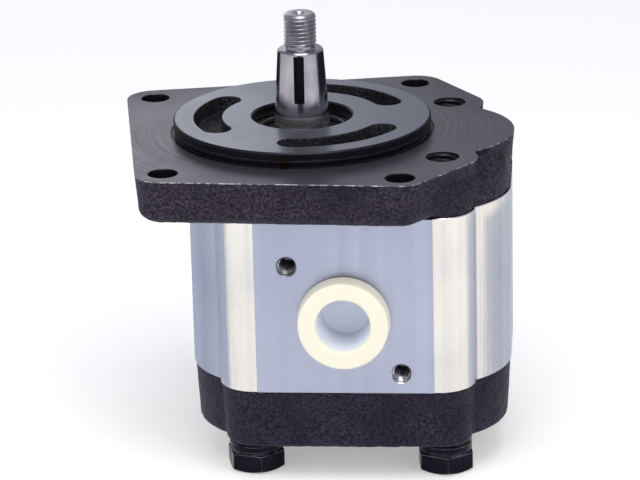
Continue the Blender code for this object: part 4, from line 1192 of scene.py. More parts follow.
@dataclass
class MountingFlange(SubAssembly):
    """The cast flange with its faced top, turned pilot, pockets and holes."""

    corners: tuple[Circle, ...] = (
        (-37.9 * MM, -45.2 * MM, 8.5 * MM),
        (32.7 * MM, -49.2 * MM, 7.7 * MM),
        (32.5 * MM, 49.7 * MM, 8.9 * MM),
        (-49.8 * MM, 33.0 * MM, 9.05 * MM),
    )
    bolt_lobe: float = 10.7 * MM
    side_lobe: Circle = (38.1 * MM, 0.0, 27.25 * MM)
    valley: float = 3.0 * MM
    hole_radius: float = 4.4 * MM
    pilot_radius: float = 39.7 * MM
    seal_bore: float = 15.4 * MM
    seal_depth: float = 7.9 * MM
    groove_radius: float = 16.5 * MM
    shaft_bore: float = 9.4 * MM
    pocket_mid: float = 29.05 * MM
    pocket_half_width: float = 4.3 * MM
    pocket_half_span: float = math.radians(40.0)
    pocket_depth: float = 5.0 * MM
    skirt_blend: tuple[Point, ...] = (
        (1.0, 0.4 * MM), (0.9, 0.45 * MM), (0.75, 0.55 * MM), (0.6, 0.75 * MM),
        (0.45, 1.2 * MM), (0.32, 2.0 * MM), (0.2, 3.3 * MM), (0.1, 5.3 * MM),
    )

    def circles(self) -> list[Circle]:
        """The circles of the mounting face's outline.

        Returns:
            The chain for rounded_outline.
        """
        front_left, front_right, back_right, back_left = self.corners
        x, y = self.layout.middle_x + self.layout.bolt_half_x, self.layout.bolt_half_y
        front, back, lobe = (x, -y, self.bolt_lobe), (x, y, self.bolt_lobe), self.side_lobe
        valleys = valley_circle(front, lobe, self.valley), valley_circle(lobe, back, self.valley)
        return [front_left, front_right, front, valleys[0], lobe, valleys[1], back, back_right, back_left]

    def plate(self) -> Solid:
        """The plate, rough cast all round with a faced top.

        Returns:
            The solid.
        """
        edge, level = 0.25 * MM, 0.95
        levels = rounded_levels(-self.layout.flange_thickness, 0.0, 0.8 * MM, 4.0 * MM, edge, CAST_SPACING)
        mesh = cast_wall(self.circles(), levels, "plate", (0.11 * MM, 2.4 * MM, 3.0), 0.0)
        return self.solid(
            mesh,
            Surface.FLANGE_CAST,
            (Surface.FACED, lambda face: face.center.z > -edge and face.normal.z > level),
            (Surface.RIM, lambda face: face.center.z > -edge and face.normal.z <= level),
        )

    def skirt(self) -> Solid:
        """The lower step of the casting, which follows the body's outline and blends up into the plate.

        Returns:
            The solid.
        """
        levels = [(-self.layout.flange_thickness * share, inset) for share, inset in self.skirt_blend]
        mesh = cast_wall(self.layout.body_circles(), levels, "skirt", (0.11 * MM, 2.4 * MM, 8.0), 0.0)
        return self.solid(mesh, Surface.FLANGE_CAST)

    def pilot(self) -> Solid:
        """The turned pilot, its wall and the fillet above it painted near black as shade, with a tool line
        round it and an undercut foot.

        Returns:
            The solid.
        """
        r, h = self.pilot_radius, self.layout.pilot_height
        foot, line, half, root = r - 0.7 * MM, 2.1 * MM, 0.25 * MM, -5.0 * MM
        profile = filleted([
            (0.0, h, 0.0), (r - 0.5 * MM, h, 0.2 * MM), (r, h - 0.45 * MM, 0.2 * MM),
            (r, line + half, 0.05 * MM), (r - 0.15 * MM, line, 0.05 * MM), (r, line - half, 0.05 * MM),
            (r, 1.25 * MM, 0.1 * MM), (foot, 0.9 * MM, 0.2 * MM), (foot, root, 0.0), (0.0, root, 0.0),
        ])
        # The wall and the fillet at its top take that near-black finish, a painted shade that also hides the
        # fillet's highlight.
        wall = (Surface.PILOT_WALL_SHADE, lambda face: abs(face.normal.z) < 0.97 and face.center.z < h - 0.02 * MM)
        return self.solid(turned(profile, "pilot", 192), Surface.PILOT, wall)

    def foot_groove(self) -> Solid:
        """Cutter of the shallow relief groove in the faced side round the pilot's foot.

        Returns:
            The cutter.
        """
        inner, outer, depth = self.pilot_radius - 0.6 * MM, self.pilot_radius + 0.9 * MM, 0.35 * MM
        over = self.layout.overshoot / 4
        lip = [(outer + over, over), (outer, -0.12 * MM), (outer - 0.2 * MM, -depth)]
        section = lip + [(inner, -depth), (inner, over)]
        # The groove's faces take the same near-black painted shade.
        return self.solid(turned(section, "foot groove", 192, ring=True), Surface.PILOT_WALL_SHADE)

    def bore(self) -> Solid:
        """Cutter of the stepped bore for the shaft and its seal, with the retaining ring's groove.

        Returns:
            The cutter.
        """
        top, over = self.layout.pilot_height, self.layout.overshoot
        groove_top, seal_top, low = 1.2 * MM, -0.6 * MM, -self.layout.flange_thickness - over
        profile = filleted([
            (0.0, top + over, 0.0), (self.seal_bore + 0.5 * MM + over, top + over, 0.0),
            (self.seal_bore, top - 0.5 * MM, 0.1 * MM), (self.seal_bore, groove_top, 0.0),
            (self.groove_radius, groove_top, 0.0), (self.groove_radius, seal_top, 0.0),
            (self.seal_bore, seal_top, 0.0), (self.seal_bore, -self.seal_depth, 0.3 * MM),
            (self.shaft_bore, -self.seal_depth, 0.0), (self.shaft_bore, low, 0.0), (0.0, low, 0.0),
        ])
        # The bore's faces take the near-black painted shade.
        return self.solid(turned(profile, "seal bore", 96), Surface.BORED_SHADE)

    def pockets(self) -> list[Solid]:
        """Cutters of the three bent pockets in the pilot's face.

        Returns:
            The cutters.
        """
        top = self.layout.pilot_height
        floor = top - self.pocket_depth
        levels = (
            (floor, 1.0 * MM), (floor + 0.3 * MM, 0.45 * MM), (floor + 1.0 * MM, 0.15 * MM),
            (top - 0.2 * MM, 0.0), (top, -0.2 * MM), (top + self.layout.overshoot, -0.2 * MM),
        )
        cutters = []
        for middle in (60.0, 180.0, 300.0):
            sections = []
            for z, inset in levels:
                half_span = self.pocket_half_span - inset / self.pocket_mid
                half_width = self.pocket_half_width - inset
                outline = slot_outline(self.pocket_mid, half_width, math.radians(middle), half_span)
                sections.append((z, outline))
            cutters.append(self.solid(loft(sections, "pocket"), Surface.POCKET_CAST))
        return cutters

    def holes(self) -> list[Solid]:
        """Cutters of the mounting holes and of the tapped holes for the body bolts.

        Returns:
            The cutters.
        """
        over, r, chamfer = self.layout.overshoot, self.hole_radius, 0.25 * MM
        low = -self.layout.flange_thickness - over
        mouth = [(0.0, over, 0.0), (r + chamfer + over, over, 0.0), (r, -chamfer, 0.05 * MM)]
        through = filleted(mouth + [(r, low, 0.0), (0.0, low, 0.0)])
        meshes = [moved(turned(through, "mounting hole", 64), x, y) for x, y, _ in self.corners]
        bolts = self.layout.bolt_centres().items()
        meshes += [moved(self.tapped_hole(label.endswith("right")), x, y) for label, (x, y) in bolts]
        return [self.solid(mesh, Surface.BORED_SHADE) for mesh in meshes]

    def tapped_hole(self, through: bool) -> bpy.types.Mesh:
        """Cutter of one tapped hole, threaded above the bolt's end where it goes right through.

        Args:
            through: Whether the hole reaches the mounting face.

        Returns:
            The cutter's mesh, on the datum's axis.
        """
        over, wide, chamfer = self.layout.overshoot, 5.05 * MM, 0.1 * MM
        low = -self.layout.flange_thickness - over
        step = self.layout.bolt_end_z + self.layout.seam
        if not through:
            return turned([(0.0, step), (wide, step), (wide, low), (0.0, low)], "blind hole", 48)
        thread = Thread(1.5 * MM, 0.75 * MM, step, -chamfer)
        mouth = [(0.0, over), (wide + chamfer + over, over), (wide, -chamfer)]
        profile = mouth + thread.rows(wide)[1:] + [(wide, low), (0.0, low)]
        return turned(profile, "tapped hole", 64, ripple=thread.groove)

    def build(self) -> None:
        """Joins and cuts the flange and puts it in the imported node's place."""
        flange = self.plate()
        flange.combine([self.foot_groove()])
        flange.combine([self.skirt(), self.pilot()], "UNION")
        flange.combine([self.bore(), *self.pockets(), *self.holes()])
        self.keep(flange, "mounting_flange", "front_flange", "housing", "cast_iron_flange")


@dataclass
class AluminiumBody(SubAssembly):
    """The extruded body with its gear chamber, ports and tapped fixing holes."""

    pad_half_width: float = 26.85 * MM
    chamber_radius: float = 17.9 * MM
    bolt_hole: float = 5.3 * MM
    fixing_offset: float = 17.0 * MM
    fixing_radius: float = 2.85 * MM
    fixing_depth: float = 12.0 * MM
    step_depth: float = 13.0 * MM
    outlet: Point = (10.2 * MM, 7.0 * MM)
    inlet: Point = (12.2 * MM, 9.0 * MM)
    seal_track: float = 20.9 * MM
    seal_half_width: float = 1.3 * MM
    seal_depth: float = 2.0 * MM

    def shell(self) -> Solid:
        """The extrusion with its two proud flats, its cut ends lightly broken.

        Returns:
            The solid.
        """
        top, bottom = self.layout.body_levels()
        edge, soft, spacing = 0.25 * MM, 0.35 * MM, 4.0 * MM
        levels = [(bottom, edge), (bottom + edge, 0.0), (top - edge, 0.0), (top, edge)]
        sections = wall_sections(self.layout.body_circles(), levels, math.radians(2.5), spacing)
        half, depth = self.pad_half_width - soft, self.layout.body_half_depth - soft
        signs = ((1, -1), (1, 1), (-1, 1), (-1, -1))
        corners = [(self.layout.middle_x + a * half, b * depth, soft) for a, b in signs]
        pad = loft(wall_sections(corners, levels, math.radians(18), spacing), "flat sides")
        # The rounded walls take the warm cream painted highlight.
        shell = self.solid(loft(sections, "extrusion"), Surface.DRAWN_HIGHLIGHT)
        # The flats take the blue-grey painted reflection.
        return shell.combine([self.solid(pad, Surface.FLAT)], "UNION")

    def chamber(self) -> list[Solid]:
        """Cutters of the gear chamber, the bolt holes and the body seals' grooves.

        Returns:
            The cutters.
        """
        top, bottom = self.layout.body_levels()
        r, far, over = self.chamber_radius, self.layout.gear_centres, self.layout.overshoot
        waist = math.acos(far / 2 / r)
        left = arc_points((0.0, 0.0), r, waist, math.tau - waist, math.radians(4))
        right = arc_points((far, 0.0), r, math.pi + waist, 3 * math.pi - waist, math.radians(4))
        meshes = [prism(left[:-1] + right[:-1], bottom - over, top + over, "chamber")]
        for centre in self.layout.bolt_centres().values():
            hole = circle_outline(self.bolt_hole, 48, centre)
            meshes.append(prism(hole, bottom - over, top + over, "bolt hole"))
        meshes.append(self.groove(top - self.seal_depth, top + over))
        meshes.append(self.groove(bottom - over, bottom + self.seal_depth))
        return [self.solid(mesh, Surface.MILLED) for mesh in meshes]

    def groove(self, low: float, high: float) -> bpy.types.Mesh:
        """A race-track ring between two heights, cut for a body seal.

        Args:
            low: The lower height.
            high: The upper height.

        Returns:
            The ring's mesh.
        """
        far, quarter, step = self.layout.gear_centres, math.pi / 2, math.radians(6)
        outer, inner = self.seal_track + self.seal_half_width, self.seal_track - self.seal_half_width
        rings = []
        for radius, z in ((outer, low), (outer, high), (inner, high), (inner, low)):
            left = arc_points((0.0, 0.0), radius, quarter, 3 * quarter, step)
            right = arc_points((far, 0.0), radius, -quarter, quarter, step)
            rings.append([Vector((x, y, z)) for x, y in left + right])
        return skin_rings(rings, "seal groove", caps=False)

    def port(self, side: int, radii: Point) -> list[Solid]:
        """Cutters of one port and its two tapped fixing holes.

        Args:
            side: -1 for the front, 1 for the back.
            radii: Radius of the port's mouth and of its passage.

        Returns:
            The cutters.
        """
        face, over, end = self.layout.body_half_depth, self.layout.overshoot, self.chamber_radius / 4
        (mouth, passage), r, chamfer = radii, self.fixing_radius, 0.4 * MM
        step, bottom = face - self.step_depth, face - self.fixing_depth - 1.0 * MM
        profile = filleted([
            (0.0, face + over, 0.0), (mouth + chamfer + over, face + over, 0.0),
            (mouth, face - chamfer, 0.1 * MM), (mouth, step, 0.6 * MM),
            (passage, step, 0.4 * MM), (passage, end, 0.0), (0.0, end, 0.0),
        ])
        thread = Thread(1.0 * MM, 0.52 * MM, face - self.fixing_depth, face - 0.5 * MM)
        rows = [(0.0, face + over), (r + chamfer + over, face + over), (r + 0.05 * MM, face - 0.35 * MM)]
        rows += thread.rows(r) + [(r - 0.5 * MM, bottom + 0.6 * MM), (0.0, bottom)]
        cutters = []
        for way in (0, -1, 1):
            if way:
                mesh, surface = turned(rows, "fixing hole", 48, ripple=thread.groove), Surface.TAPPED
            else:
                mesh, surface = turned(profile, "port", 96), Surface.MILLED
            offset = way * self.fixing_offset
            place = Matrix.Translation((self.layout.middle_x + offset, 0.0, self.layout.port_z - offset))
            mesh.transform(place @ Matrix.Rotation(-side * math.pi / 2, 4, "X"))
            rim = (Surface.MILLED, lambda wall: abs(wall.center.y) > face - 0.36 * MM)
            cutters.append(self.solid(mesh, surface, rim))
        return cutters

    def build(self) -> None:
        """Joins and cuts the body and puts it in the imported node's place."""
        body = self.shell()
        body.combine([*self.chamber(), *self.port(-1, self.outlet), *self.port(1, self.inlet)])
        self.keep(body, "aluminium_body", "pump_body", "housing", "aluminium_body", 20.0)


@dataclass
class RearCover(SubAssembly):
    """The cast cover under the body, with faced seats for the bolts."""

    thickness: float = 18.5 * MM
    inset: float = 0.4 * MM
    seat_depth: float = 0.7 * MM
    seat_left: float = 9.6 * MM
    seat_right: float = 19.5 * MM
    bolt_hole: float = 5.3 * MM

    def build(self) -> None:
        """Lofts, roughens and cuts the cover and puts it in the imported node's place."""
        top = self.layout.body_levels()[1] - self.layout.seam
        bottom, over = top - self.thickness, self.layout.overshoot
        levels = rounded_levels(bottom, top, 0.8 * MM, 1.8 * MM, 0.2 * MM, CAST_SPACING)
        levels = [(z, inset + self.inset) for z, inset in levels]
        skin = (0.12 * MM, 2.6 * MM, 17.0)
        mesh = cast_wall(self.layout.body_circles(), levels, "cover", skin, top)
        cover = self.solid(mesh, Surface.COVER_CAST)
        cutters = []
        for label, centre in self.layout.bolt_centres().items():
            radius = self.seat_right if label.endswith("right") else self.seat_left
            seat = [(bottom - over, radius + 0.3 * MM), (bottom + self.seat_depth, radius)]
            outlines = [(z, circle_outline(r, 72, centre)) for z, r in seat]
            cutters.append(self.solid(loft(outlines, "bolt seat"), Surface.COVER_CAST))
            hole = prism(circle_outline(self.bolt_hole, 48, centre), bottom - over, top + over, "bolt hole")
            cutters.append(self.solid(hole, Surface.BORED_SHADE))
        cover.combine(cutters)
        self.keep(cover, "cast_rear_cover", "rear_cover", "housing", "cast_iron_cover")


def softened(inner: float, outer: float, low: float, high: float, soft: float) -> Outline:
    """The section of a flat ring with softened edges.

    Args:
        inner: Inner radius.
        outer: Outer radius.
        low: Height of its underside.
        high: Height of its upper side.
        soft: How far its edges are cut back.

    Returns:
        The section's points, from the underside outwards.
    """
    near, far = inner + soft, outer - soft
    lower, upper = low + soft, high - soft
    return [
        (near, low), (far, low), (outer, lower), (outer, upper),
        (far, high), (near, high), (inner, upper), (inner, lower),
    ]


@dataclass
class BodyBolts(SubAssembly):
    """The four hex bolts with their spring washers and plain washers."""

    radius: float = 4.95 * MM
    across_flats: float = 16.0 * MM
    head_height: float = 6.0 * MM
    thread_length: float = 16.0 * MM
    washer_inner: float = 5.3 * MM
    washer_outer: float = 8.1 * MM
    head_turns: dict[str, float] = field(
        default_factory=lambda: dict(front_left=-75.0, front_right=-83.0, back_right=12.0, back_left=41.0)
    )
    gap_turns: dict[str, float] = field(
        default_factory=lambda: dict(front_left=20.0, front_right=200.0, back_right=100.0, back_left=310.0)
    )

    def head(self, turn: float, top: float) -> Solid:
        """A chamfered hexagon head with softened edges.

        Args:
            turn: Direction of one corner, in degrees.
            top: Height of its bearing side.

        Returns:
            The head.
        """
        bottom, collar, soft, flat = top - self.head_height, 0.3 * MM, 0.25 * MM, self.across_flats / 2
        corner = flat / math.cos(math.pi / 6)
        reach = corner - soft / math.cos(math.pi / 6)
        angles = [math.radians(turn + 60 * i) for i in range(6)]
        circles = [(reach * math.cos(a), reach * math.sin(a), soft) for a in angles]
        sections = wall_sections(circles, [(bottom - MM, 0.0), (top - collar, 0.0)], math.radians(12), 1.0)
        head = self.solid(loft(sections, "head"), Surface.BLACK)
        wide, face = corner + MM, flat * 0.97
        lens = filleted([
            (0.0, top, 0.0), (wide, top, 0.0),
            (wide, bottom + (wide - flat) * math.tan(math.radians(30)), 0.0),
            (face, bottom, 0.5 * MM), (0.0, bottom, 0.0),
        ])
        head.combine([self.solid(turned(lens, "chamfer", 96), Surface.BLACK)], "INTERSECT")
        low = top - 2 * collar
        ring = [(0.0, top), (flat * 0.95, top), (face, top - collar), (face, low), (0.0, low)]
        return head.combine([self.solid(turned(ring, "bearing face", 72), Surface.BLACK)], "UNION")

    def shank(self, top: float, head_top: float) -> Solid:
        """The shank, threaded near its end.

        Args:
            top: Height of its end.
            head_top: Height of the head's bearing side.

        Returns:
            The shank.
        """
        r, chamfer = self.radius, 0.9 * MM
        thread = Thread(1.5 * MM, 0.75 * MM, top - self.thread_length, top - chamfer)
        low = head_top - self.head_height / 2
        profile = [(0.0, top), (r - chamfer, top)] + thread.rows(r, 6) + [(r, low), (0.0, low)]
        return self.solid(turned(profile, "shank", 48, ripple=thread.groove), Surface.BLACK)

    def spring_washer(self, low: float, high: float, turn: float) -> Solid:
        """A split ring of square section whose cut ends stand a little apart in height.

        Args:
            low: Height of its underside.
            high: Height of its upper side.
            turn: Direction of the split, in degrees.

        Returns:
            The washer.
        """
        count, soft, lift = 60, 0.25 * MM, 0.12 * MM
        gap = math.asin(1.0 * MM / self.washer_outer)
        rings = []
        for i in range(count + 1):
            share = i / count
            angle = math.radians(turn) + gap + (math.tau - 2 * gap) * share
            z0, z1 = low + lift * (1 - share), high - lift * share
            section = softened(self.washer_inner, self.washer_outer, z0, z1, soft)
            rings.append([Vector((r * math.cos(angle), r * math.sin(angle), z)) for r, z in section])
        return self.solid(skin_rings(rings, "spring washer"), Surface.BLACK)

    def plain_washer(self, low: float, high: float) -> Solid:
        """A flat ring with softened edges."""
        section = softened(self.washer_inner, self.washer_outer, low, high, 0.3 * MM)
        return self.solid(turned(section, "plain washer", 96, ring=True), Surface.BLACK)

    def build(self) -> None:
        """Builds each bolt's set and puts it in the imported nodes' places."""
        for label, (x, y) in self.layout.bolt_centres().items():
            foot, end = self.heights(f"body_bolt_{label}")
            head_top = foot + self.head_height
            bolt = self.head(self.head_turns[label], head_top)
            bolt.combine([self.shank(end, head_top)], "UNION")
            low, high = self.heights(f"spring_washer_{label}")
            spring = self.spring_washer(low, high, self.gap_turns[label])
            plain = self.plain_washer(*self.heights(f"plain_washer_{label}"))
            for kind, solid in (("body_bolt", bolt), ("spring_washer", spring), ("plain_washer", plain)):
                node = f"{kind}_{label}"
                self.keep(solid, f"{node}_fine", node, "housing", "black_oxide_steel", 25.0, (x, y, 0.0))


@dataclass
class GearSet(SubAssembly):
    """The two gears, one in one piece with the taper shaft, the other with its journals."""

    teeth: int = 12
    pressure_angle: float = math.radians(25.0)
    addendum: float = 2.5 * MM
    dedendum: float = 3.1 * MM
    thinning: float = 0.35 * MM
    width: float = 24.0 * MM
    middle_z: float = -45.5 * MM
    lit_journal: float = 8.5 * MM
    taper_large: float = 8.325 * MM
    taper_base: float = 5.8 * MM
    taper_top: float = 25.9 * MM
    neck: float = 4.55 * MM
    neck_length: float = 1.4 * MM
    thread_radius: float = 5.0 * MM
    tip_z: float = 37.0 * MM
    keyway_width: float = 3.2 * MM
    keyway_length: float = 14.7 * MM
    keyway_floor: float = 4.7 * MM
    end_gap: float = 0.7 * MM

    def involute(self, radius: float) -> float:
        """How far an involute flank has turned at a radius.

        Args:
            radius: The radius.

        Returns:
            The angle, in radians.
        """
        base = self.layout.gear_centres / 2 * math.cos(self.pressure_angle)
        roll = math.sqrt(max(0.0, (radius / base) ** 2 - 1))
        return roll - math.atan(roll)

    def outline(self, first_tooth: float) -> Outline:
        """The gear's outline.

        Args:
            first_tooth: Direction of one tooth's middle, in radians.

        Returns:
            The points, anticlockwise.
        """
        pitch = self.layout.gear_centres / 2
        base = pitch * math.cos(self.pressure_angle)
        root, tip = pitch - self.dedendum, pitch + self.addendum
        half = (math.pi * pitch / self.teeth - self.thinning) / 2 / pitch + self.involute(pitch)
        flank = [(root, half + 0.8 * MM / root), (root + 0.2 * MM, half + 0.3 * MM / root)]
        flank.append((root + 0.8 * MM, half))
        flank += [(r, half - self.involute(r)) for r in (base + (tip - base) * i / 7 for i in range(8))]
        flank.append((tip, half - self.involute(tip) - 0.1 * MM / tip))
        points: Outline = []
        for tooth in range(self.teeth):
            middle = first_tooth + math.tau * tooth / self.teeth
            sides = [(r, middle - a) for r, a in flank] + [(r, middle + a) for r, a in reversed(flank)]
            points += [(r * math.cos(a), r * math.sin(a)) for r, a in sides]
        return points

    def gear(self, first_tooth: float) -> Solid:
        """The toothed part."""
        low, high = self.middle_z - self.width / 2, self.middle_z + self.width / 2
        return self.solid(prism(self.outline(first_tooth), low, high, "gear"), Surface.BEARING_STEEL)

    def journal_end(self, end: float, inward: float) -> list[Corner]:
        """Corners of a journal's end with its chamfer.

        Args:
            end: Height of the end.
            inward: 1 where the journal runs up from it, -1 where it runs down.

        Returns:
            The corners, from the axis outwards.
        """
        j, chamfer = self.lit_journal, 0.6 * MM
        return [(0.0, end, 0.0), (j - chamfer, end, 0.1 * MM), (j, end + inward * chamfer, 0.1 * MM)]

    def lower_end(self) -> list[Corner]:
        """Corners of the lower journal's end, down to the axis."""
        return self.journal_end(self.layout.body_levels()[1] + self.end_gap, 1)[::-1]

    def keyway_shade(self) -> Solid:
        """Cutter of the keyway.

        Returns:
            The cutter.
        """
        soft = 0.12 * MM
        top, half = self.taper_top - 1.0 * MM, self.keyway_width / 2 - soft
        low, high = top - self.keyway_length + soft, top - soft
        circles = [(half, low, soft), (half, high, soft), (-half, high, soft), (-half, low, soft)]
        outline = rounded_outline(circles, 0.0, math.radians(20))
        deep, out = -self.keyway_floor, -self.lit_journal - self.layout.overshoot
        rings = [[Vector((x, y, z)) for x, z in outline] for y in (deep, out)]
        # The slot's faces take the near-black painted shade.
        return self.solid(skin_rings(rings, "keyway_shade"), Surface.KEYWAY_SHADE)

    def drive_shaft(self) -> Solid:
        """The shaft with its taper, neck, thread, centre hole and empty keyway.

        Returns:
            The solid.
        """
        small = self.taper_large - (self.taper_top - self.taper_base) / 16
        tip, r, top = self.tip_z, self.thread_radius, self.taper_top
        thread_base = top + self.neck_length
        thread = Thread(1.25 * MM, 0.68 * MM, thread_base - 0.4 * MM, tip - 0.55 * MM)
        above = filleted([
            (0.0, tip - 2.6 * MM, 0.0), (0.9 * MM, tip - 2.2 * MM, 0.0),
            (1.1 * MM, tip - 0.9 * MM, 0.05 * MM), (1.9 * MM, tip - 0.02 * MM, 0.05 * MM),
            (r - 0.8 * MM, tip, 0.15 * MM),
            (r - 0.05 * MM, tip - 0.7 * MM, 0.1 * MM), (r, tip - 0.9 * MM, 0.0),
        ])
        below = filleted([
            (r, thread_base + 0.1 * MM, 0.0), (self.neck, thread_base - 0.3 * MM, 0.2 * MM),
            (self.neck, top, 0.3 * MM), (small - 0.5 * MM, top, 0.2 * MM), (small, top - 0.5 * MM, 0.2 * MM),
            (self.taper_large, self.taper_base, 0.1 * MM),
            (self.lit_journal, self.taper_base - 2.5 * MM, 0.1 * MM),
            *self.lower_end(),
        ])
        low, high = thread_base + 0.15 * MM, tip - 0.95 * MM
        rows = [point for point in thread.rows(r, 10) if low < point[1] < high]
        shaft = self.solid(
            turned(above + rows + below, "shaft", 96, ripple=thread.groove),
            Surface.GROUND,
            (Surface.THREADED, lambda face: face.center.z > top + 0.2 * MM),
            # Below the taper the journal takes the bright painted-light finish.
            (Surface.LIT_JOURNAL, lambda face: face.center.z < self.taper_base),
        )
        return shaft.combine([self.keyway_shade()])

    def idler_shaft(self) -> Solid:
        """The driven gear's shaft: two journals."""
        corners = self.journal_end(self.layout.body_levels()[0] - self.end_gap, -1) + self.lower_end()
        return self.solid(turned(filleted(corners), "journals", 96), Surface.BEARING_STEEL)

    def build(self) -> None:
        """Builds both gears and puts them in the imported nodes' places."""
        drive = self.drive_shaft().combine([self.gear(0.0)], "UNION")
        self.keep(drive, "taper_shaft_and_gear", "drive_gear_shaft", "drive_gear", "ground_steel")
        driven = self.idler_shaft().combine([self.gear(math.pi / self.teeth)], "UNION")
        at = (self.layout.gear_centres, 0.0, 0.0)
        self.keep(driven, "driven_gear_fine", "driven_gear_shaft", "driven_gear", "hardened_steel", at=at)


@dataclass
class ShaftSealing(SubAssembly):
    """The lip seal in its bore and the ring that retains it."""

    outer: float = 15.15 * MM
    lip: float = 8.8 * MM
    ring_outer: float = 16.2 * MM
    ring_inner: float = 13.2 * MM
    gap_direction: float = math.radians(-35.0)
    gap_half: float = math.radians(17.0)
    lug_angle: float = math.radians(13.0)

    def build_seal(self) -> None:
        """The seal: a rubber-covered case with a beaded face and a dust lip."""
        low, high = self.heights("shaft_seal")
        face, inner, case = high - 0.5 * MM, self.lip, self.outer
        lip_top = (inner + 1.2 * MM, face, 0.2 * MM)
        corners = [
            lip_top,
            (inner + 2.4 * MM, face - 0.5 * MM, 0.3 * MM), (case - 2.2 * MM, face - 0.4 * MM, 0.3 * MM),
            (case - 1.2 * MM, high, 0.3 * MM), (case - 0.3 * MM, high, 0.2 * MM),
            (case, high - 0.5 * MM, 0.2 * MM), (case, low, 0.2 * MM),
            (case - 1.6 * MM, low, 0.1 * MM), (case - 1.6 * MM, high - 2.0 * MM, 0.3 * MM),
            (inner + 2.8 * MM, high - 2.0 * MM, 0.3 * MM), (inner + 1.2 * MM, low + 1.6 * MM, 0.2 * MM),
            (inner, low + 1.9 * MM, 0.1 * MM), (inner + 0.3 * MM, high - 1.8 * MM, 0.3 * MM),
            (inner, face - 0.2 * MM, 0.1 * MM),
            lip_top,
        ]
        mesh = turned(filleted(corners)[:-1], "lip seal", 96, ring=True)
        self.keep(self.solid(mesh, Surface.RUBBER), "lip_seal", "shaft_seal", "housing", "seal_rubber")

    def build_ring(self) -> None:
        """The retaining ring, with a lug and a plier hole on each side of its gap."""
        low, high = self.heights("seal_circlip")
        middle, gap = self.gap_direction, self.gap_half
        lug, far = gap + self.lug_angle, middle + math.tau
        lug_inner, overlap = self.ring_inner - 2.3 * MM, 0.05
        outline: Outline = []
        for radius, start, end in (
            (self.ring_outer, middle + gap, far - gap),
            (lug_inner, far - gap, far - lug),
            (self.ring_inner, far - lug - overlap, middle + lug + overlap),
            (lug_inner, middle + lug, middle + gap),
        ):
            outline += arc_points((0.0, 0.0), radius, start, end, math.radians(3))
        ring = self.solid(prism(outline, low, high, "retaining ring"), Surface.SPRING)
        hole_ring = (lug_inner + self.ring_outer) / 2
        holes = []
        for side in (-1, 1):
            angle = middle + side * (gap + self.lug_angle / 2)
            spot = (hole_ring * math.cos(angle), hole_ring * math.sin(angle))
            mesh = prism(circle_outline(0.9 * MM, 24, spot), low - MM, high + MM, "plier hole")
            holes.append(self.solid(mesh, Surface.SPRING))
        ring.combine(holes)
        bevel = ring.obj.modifiers.new("soft edges", "BEVEL")
        bevel.width = 0.08 * MM
        bevel.segments = 2
        bevel.limit_method = "ANGLE"
        bevel.angle_limit = math.radians(50)
        self.keep(ring, "retaining_ring", "seal_circlip", "housing", "spring_steel")

    def build(self) -> None:
        """Builds the seal and its ring."""
        self.build_seal()
        self.build_ring()


class PortSide(Enum):
    """The body's two port sides, each with its sign along Y."""

    OUTLET = -1
    INLET = 1


@dataclass
class PortPlug(SubAssembly):
    """A moulded cup that closes a port until it is piped."""

    side: PortSide
    mouth: float
    rim_width: float = 3.9 * MM
    rim_height: float = 5.5 * MM
    wall: float = 1.7 * MM
    length: float = 10.0 * MM
    end_wall: float = 1.5 * MM
    clearance: float = 0.25 * MM

    @property
    def hollow(self) -> float:
        """Radius of the cup's hollow."""
        return self.mouth - self.clearance - self.wall

    @property
    def top(self) -> float:
        """Height of the rim's top on the cup's own axis."""
        return self.layout.body_half_depth + self.layout.seam + self.rim_height

    def profile(self) -> Outline:
        """The cup's profile about its own axis, its rim upwards.

        Returns:
            The profile's points.
        """
        stub, base, hollow = self.mouth - self.clearance, self.mouth + self.rim_width, self.hollow
        seat, top = self.layout.body_half_depth + self.layout.seam, self.top
        bottom = self.layout.body_half_depth - self.length
        inside = bottom + self.end_wall
        corners = [
            (0.0, inside + 0.15 * MM, 0.0), (hollow - 1.1 * MM, inside + 0.1 * MM, 0.3 * MM),
            (hollow - 0.7 * MM, inside - 0.25 * MM, 0.15 * MM), (hollow - 0.5 * MM, inside, 0.1 * MM),
            (hollow - 0.2 * MM, top - 1.5 * MM, 1.0 * MM), (hollow + 0.3 * MM, top, 0.6 * MM),
            (base - 0.5 * MM, top, 0.9 * MM), (base - 0.05 * MM, seat + 0.6 * MM, 0.3 * MM),
            (base, seat, 0.15 * MM), (stub + 0.3 * MM, seat, 0.1 * MM), (stub, seat - 0.3 * MM, 0.1 * MM),
            (stub - 0.25 * MM, bottom, 0.5 * MM), (0.0, bottom, 0.0),
        ]
        return filleted(corners, 6)

    def is_inside(self, face: Face) -> bool:
        """Whether a face of the upright cup lies in its hollow.

        Args:
            face: The face.

        Returns:
            True in the hollow.
        """
        radius, height = math.hypot(face.center.x, face.center.y), face.center.z
        floor = self.layout.body_half_depth - self.length + self.end_wall / 2
        return radius < self.hollow + 0.05 * MM and floor < height < self.top - 0.9 * MM

    def build(self) -> None:
        """Turns the cup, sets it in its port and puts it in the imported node's place."""
        mesh = turned(self.profile(), "plug", 128)
        # The hollow's faces take the cool painted shade colour.
        plug = self.solid(mesh, Surface.PLUG, (Surface.PLUG_HOLLOW_SHADE, self.is_inside))
        mesh.transform(Matrix.Rotation(-self.side.value * math.pi / 2, 4, "X"))
        at = (self.layout.middle_x, 0.0, self.layout.port_z)
        name = self.side.name.lower()
        self.keep(plug, f"{name}_plug_fine", f"{name}_port_plug", f"{name}_plug", "plug_plastic", at=at)


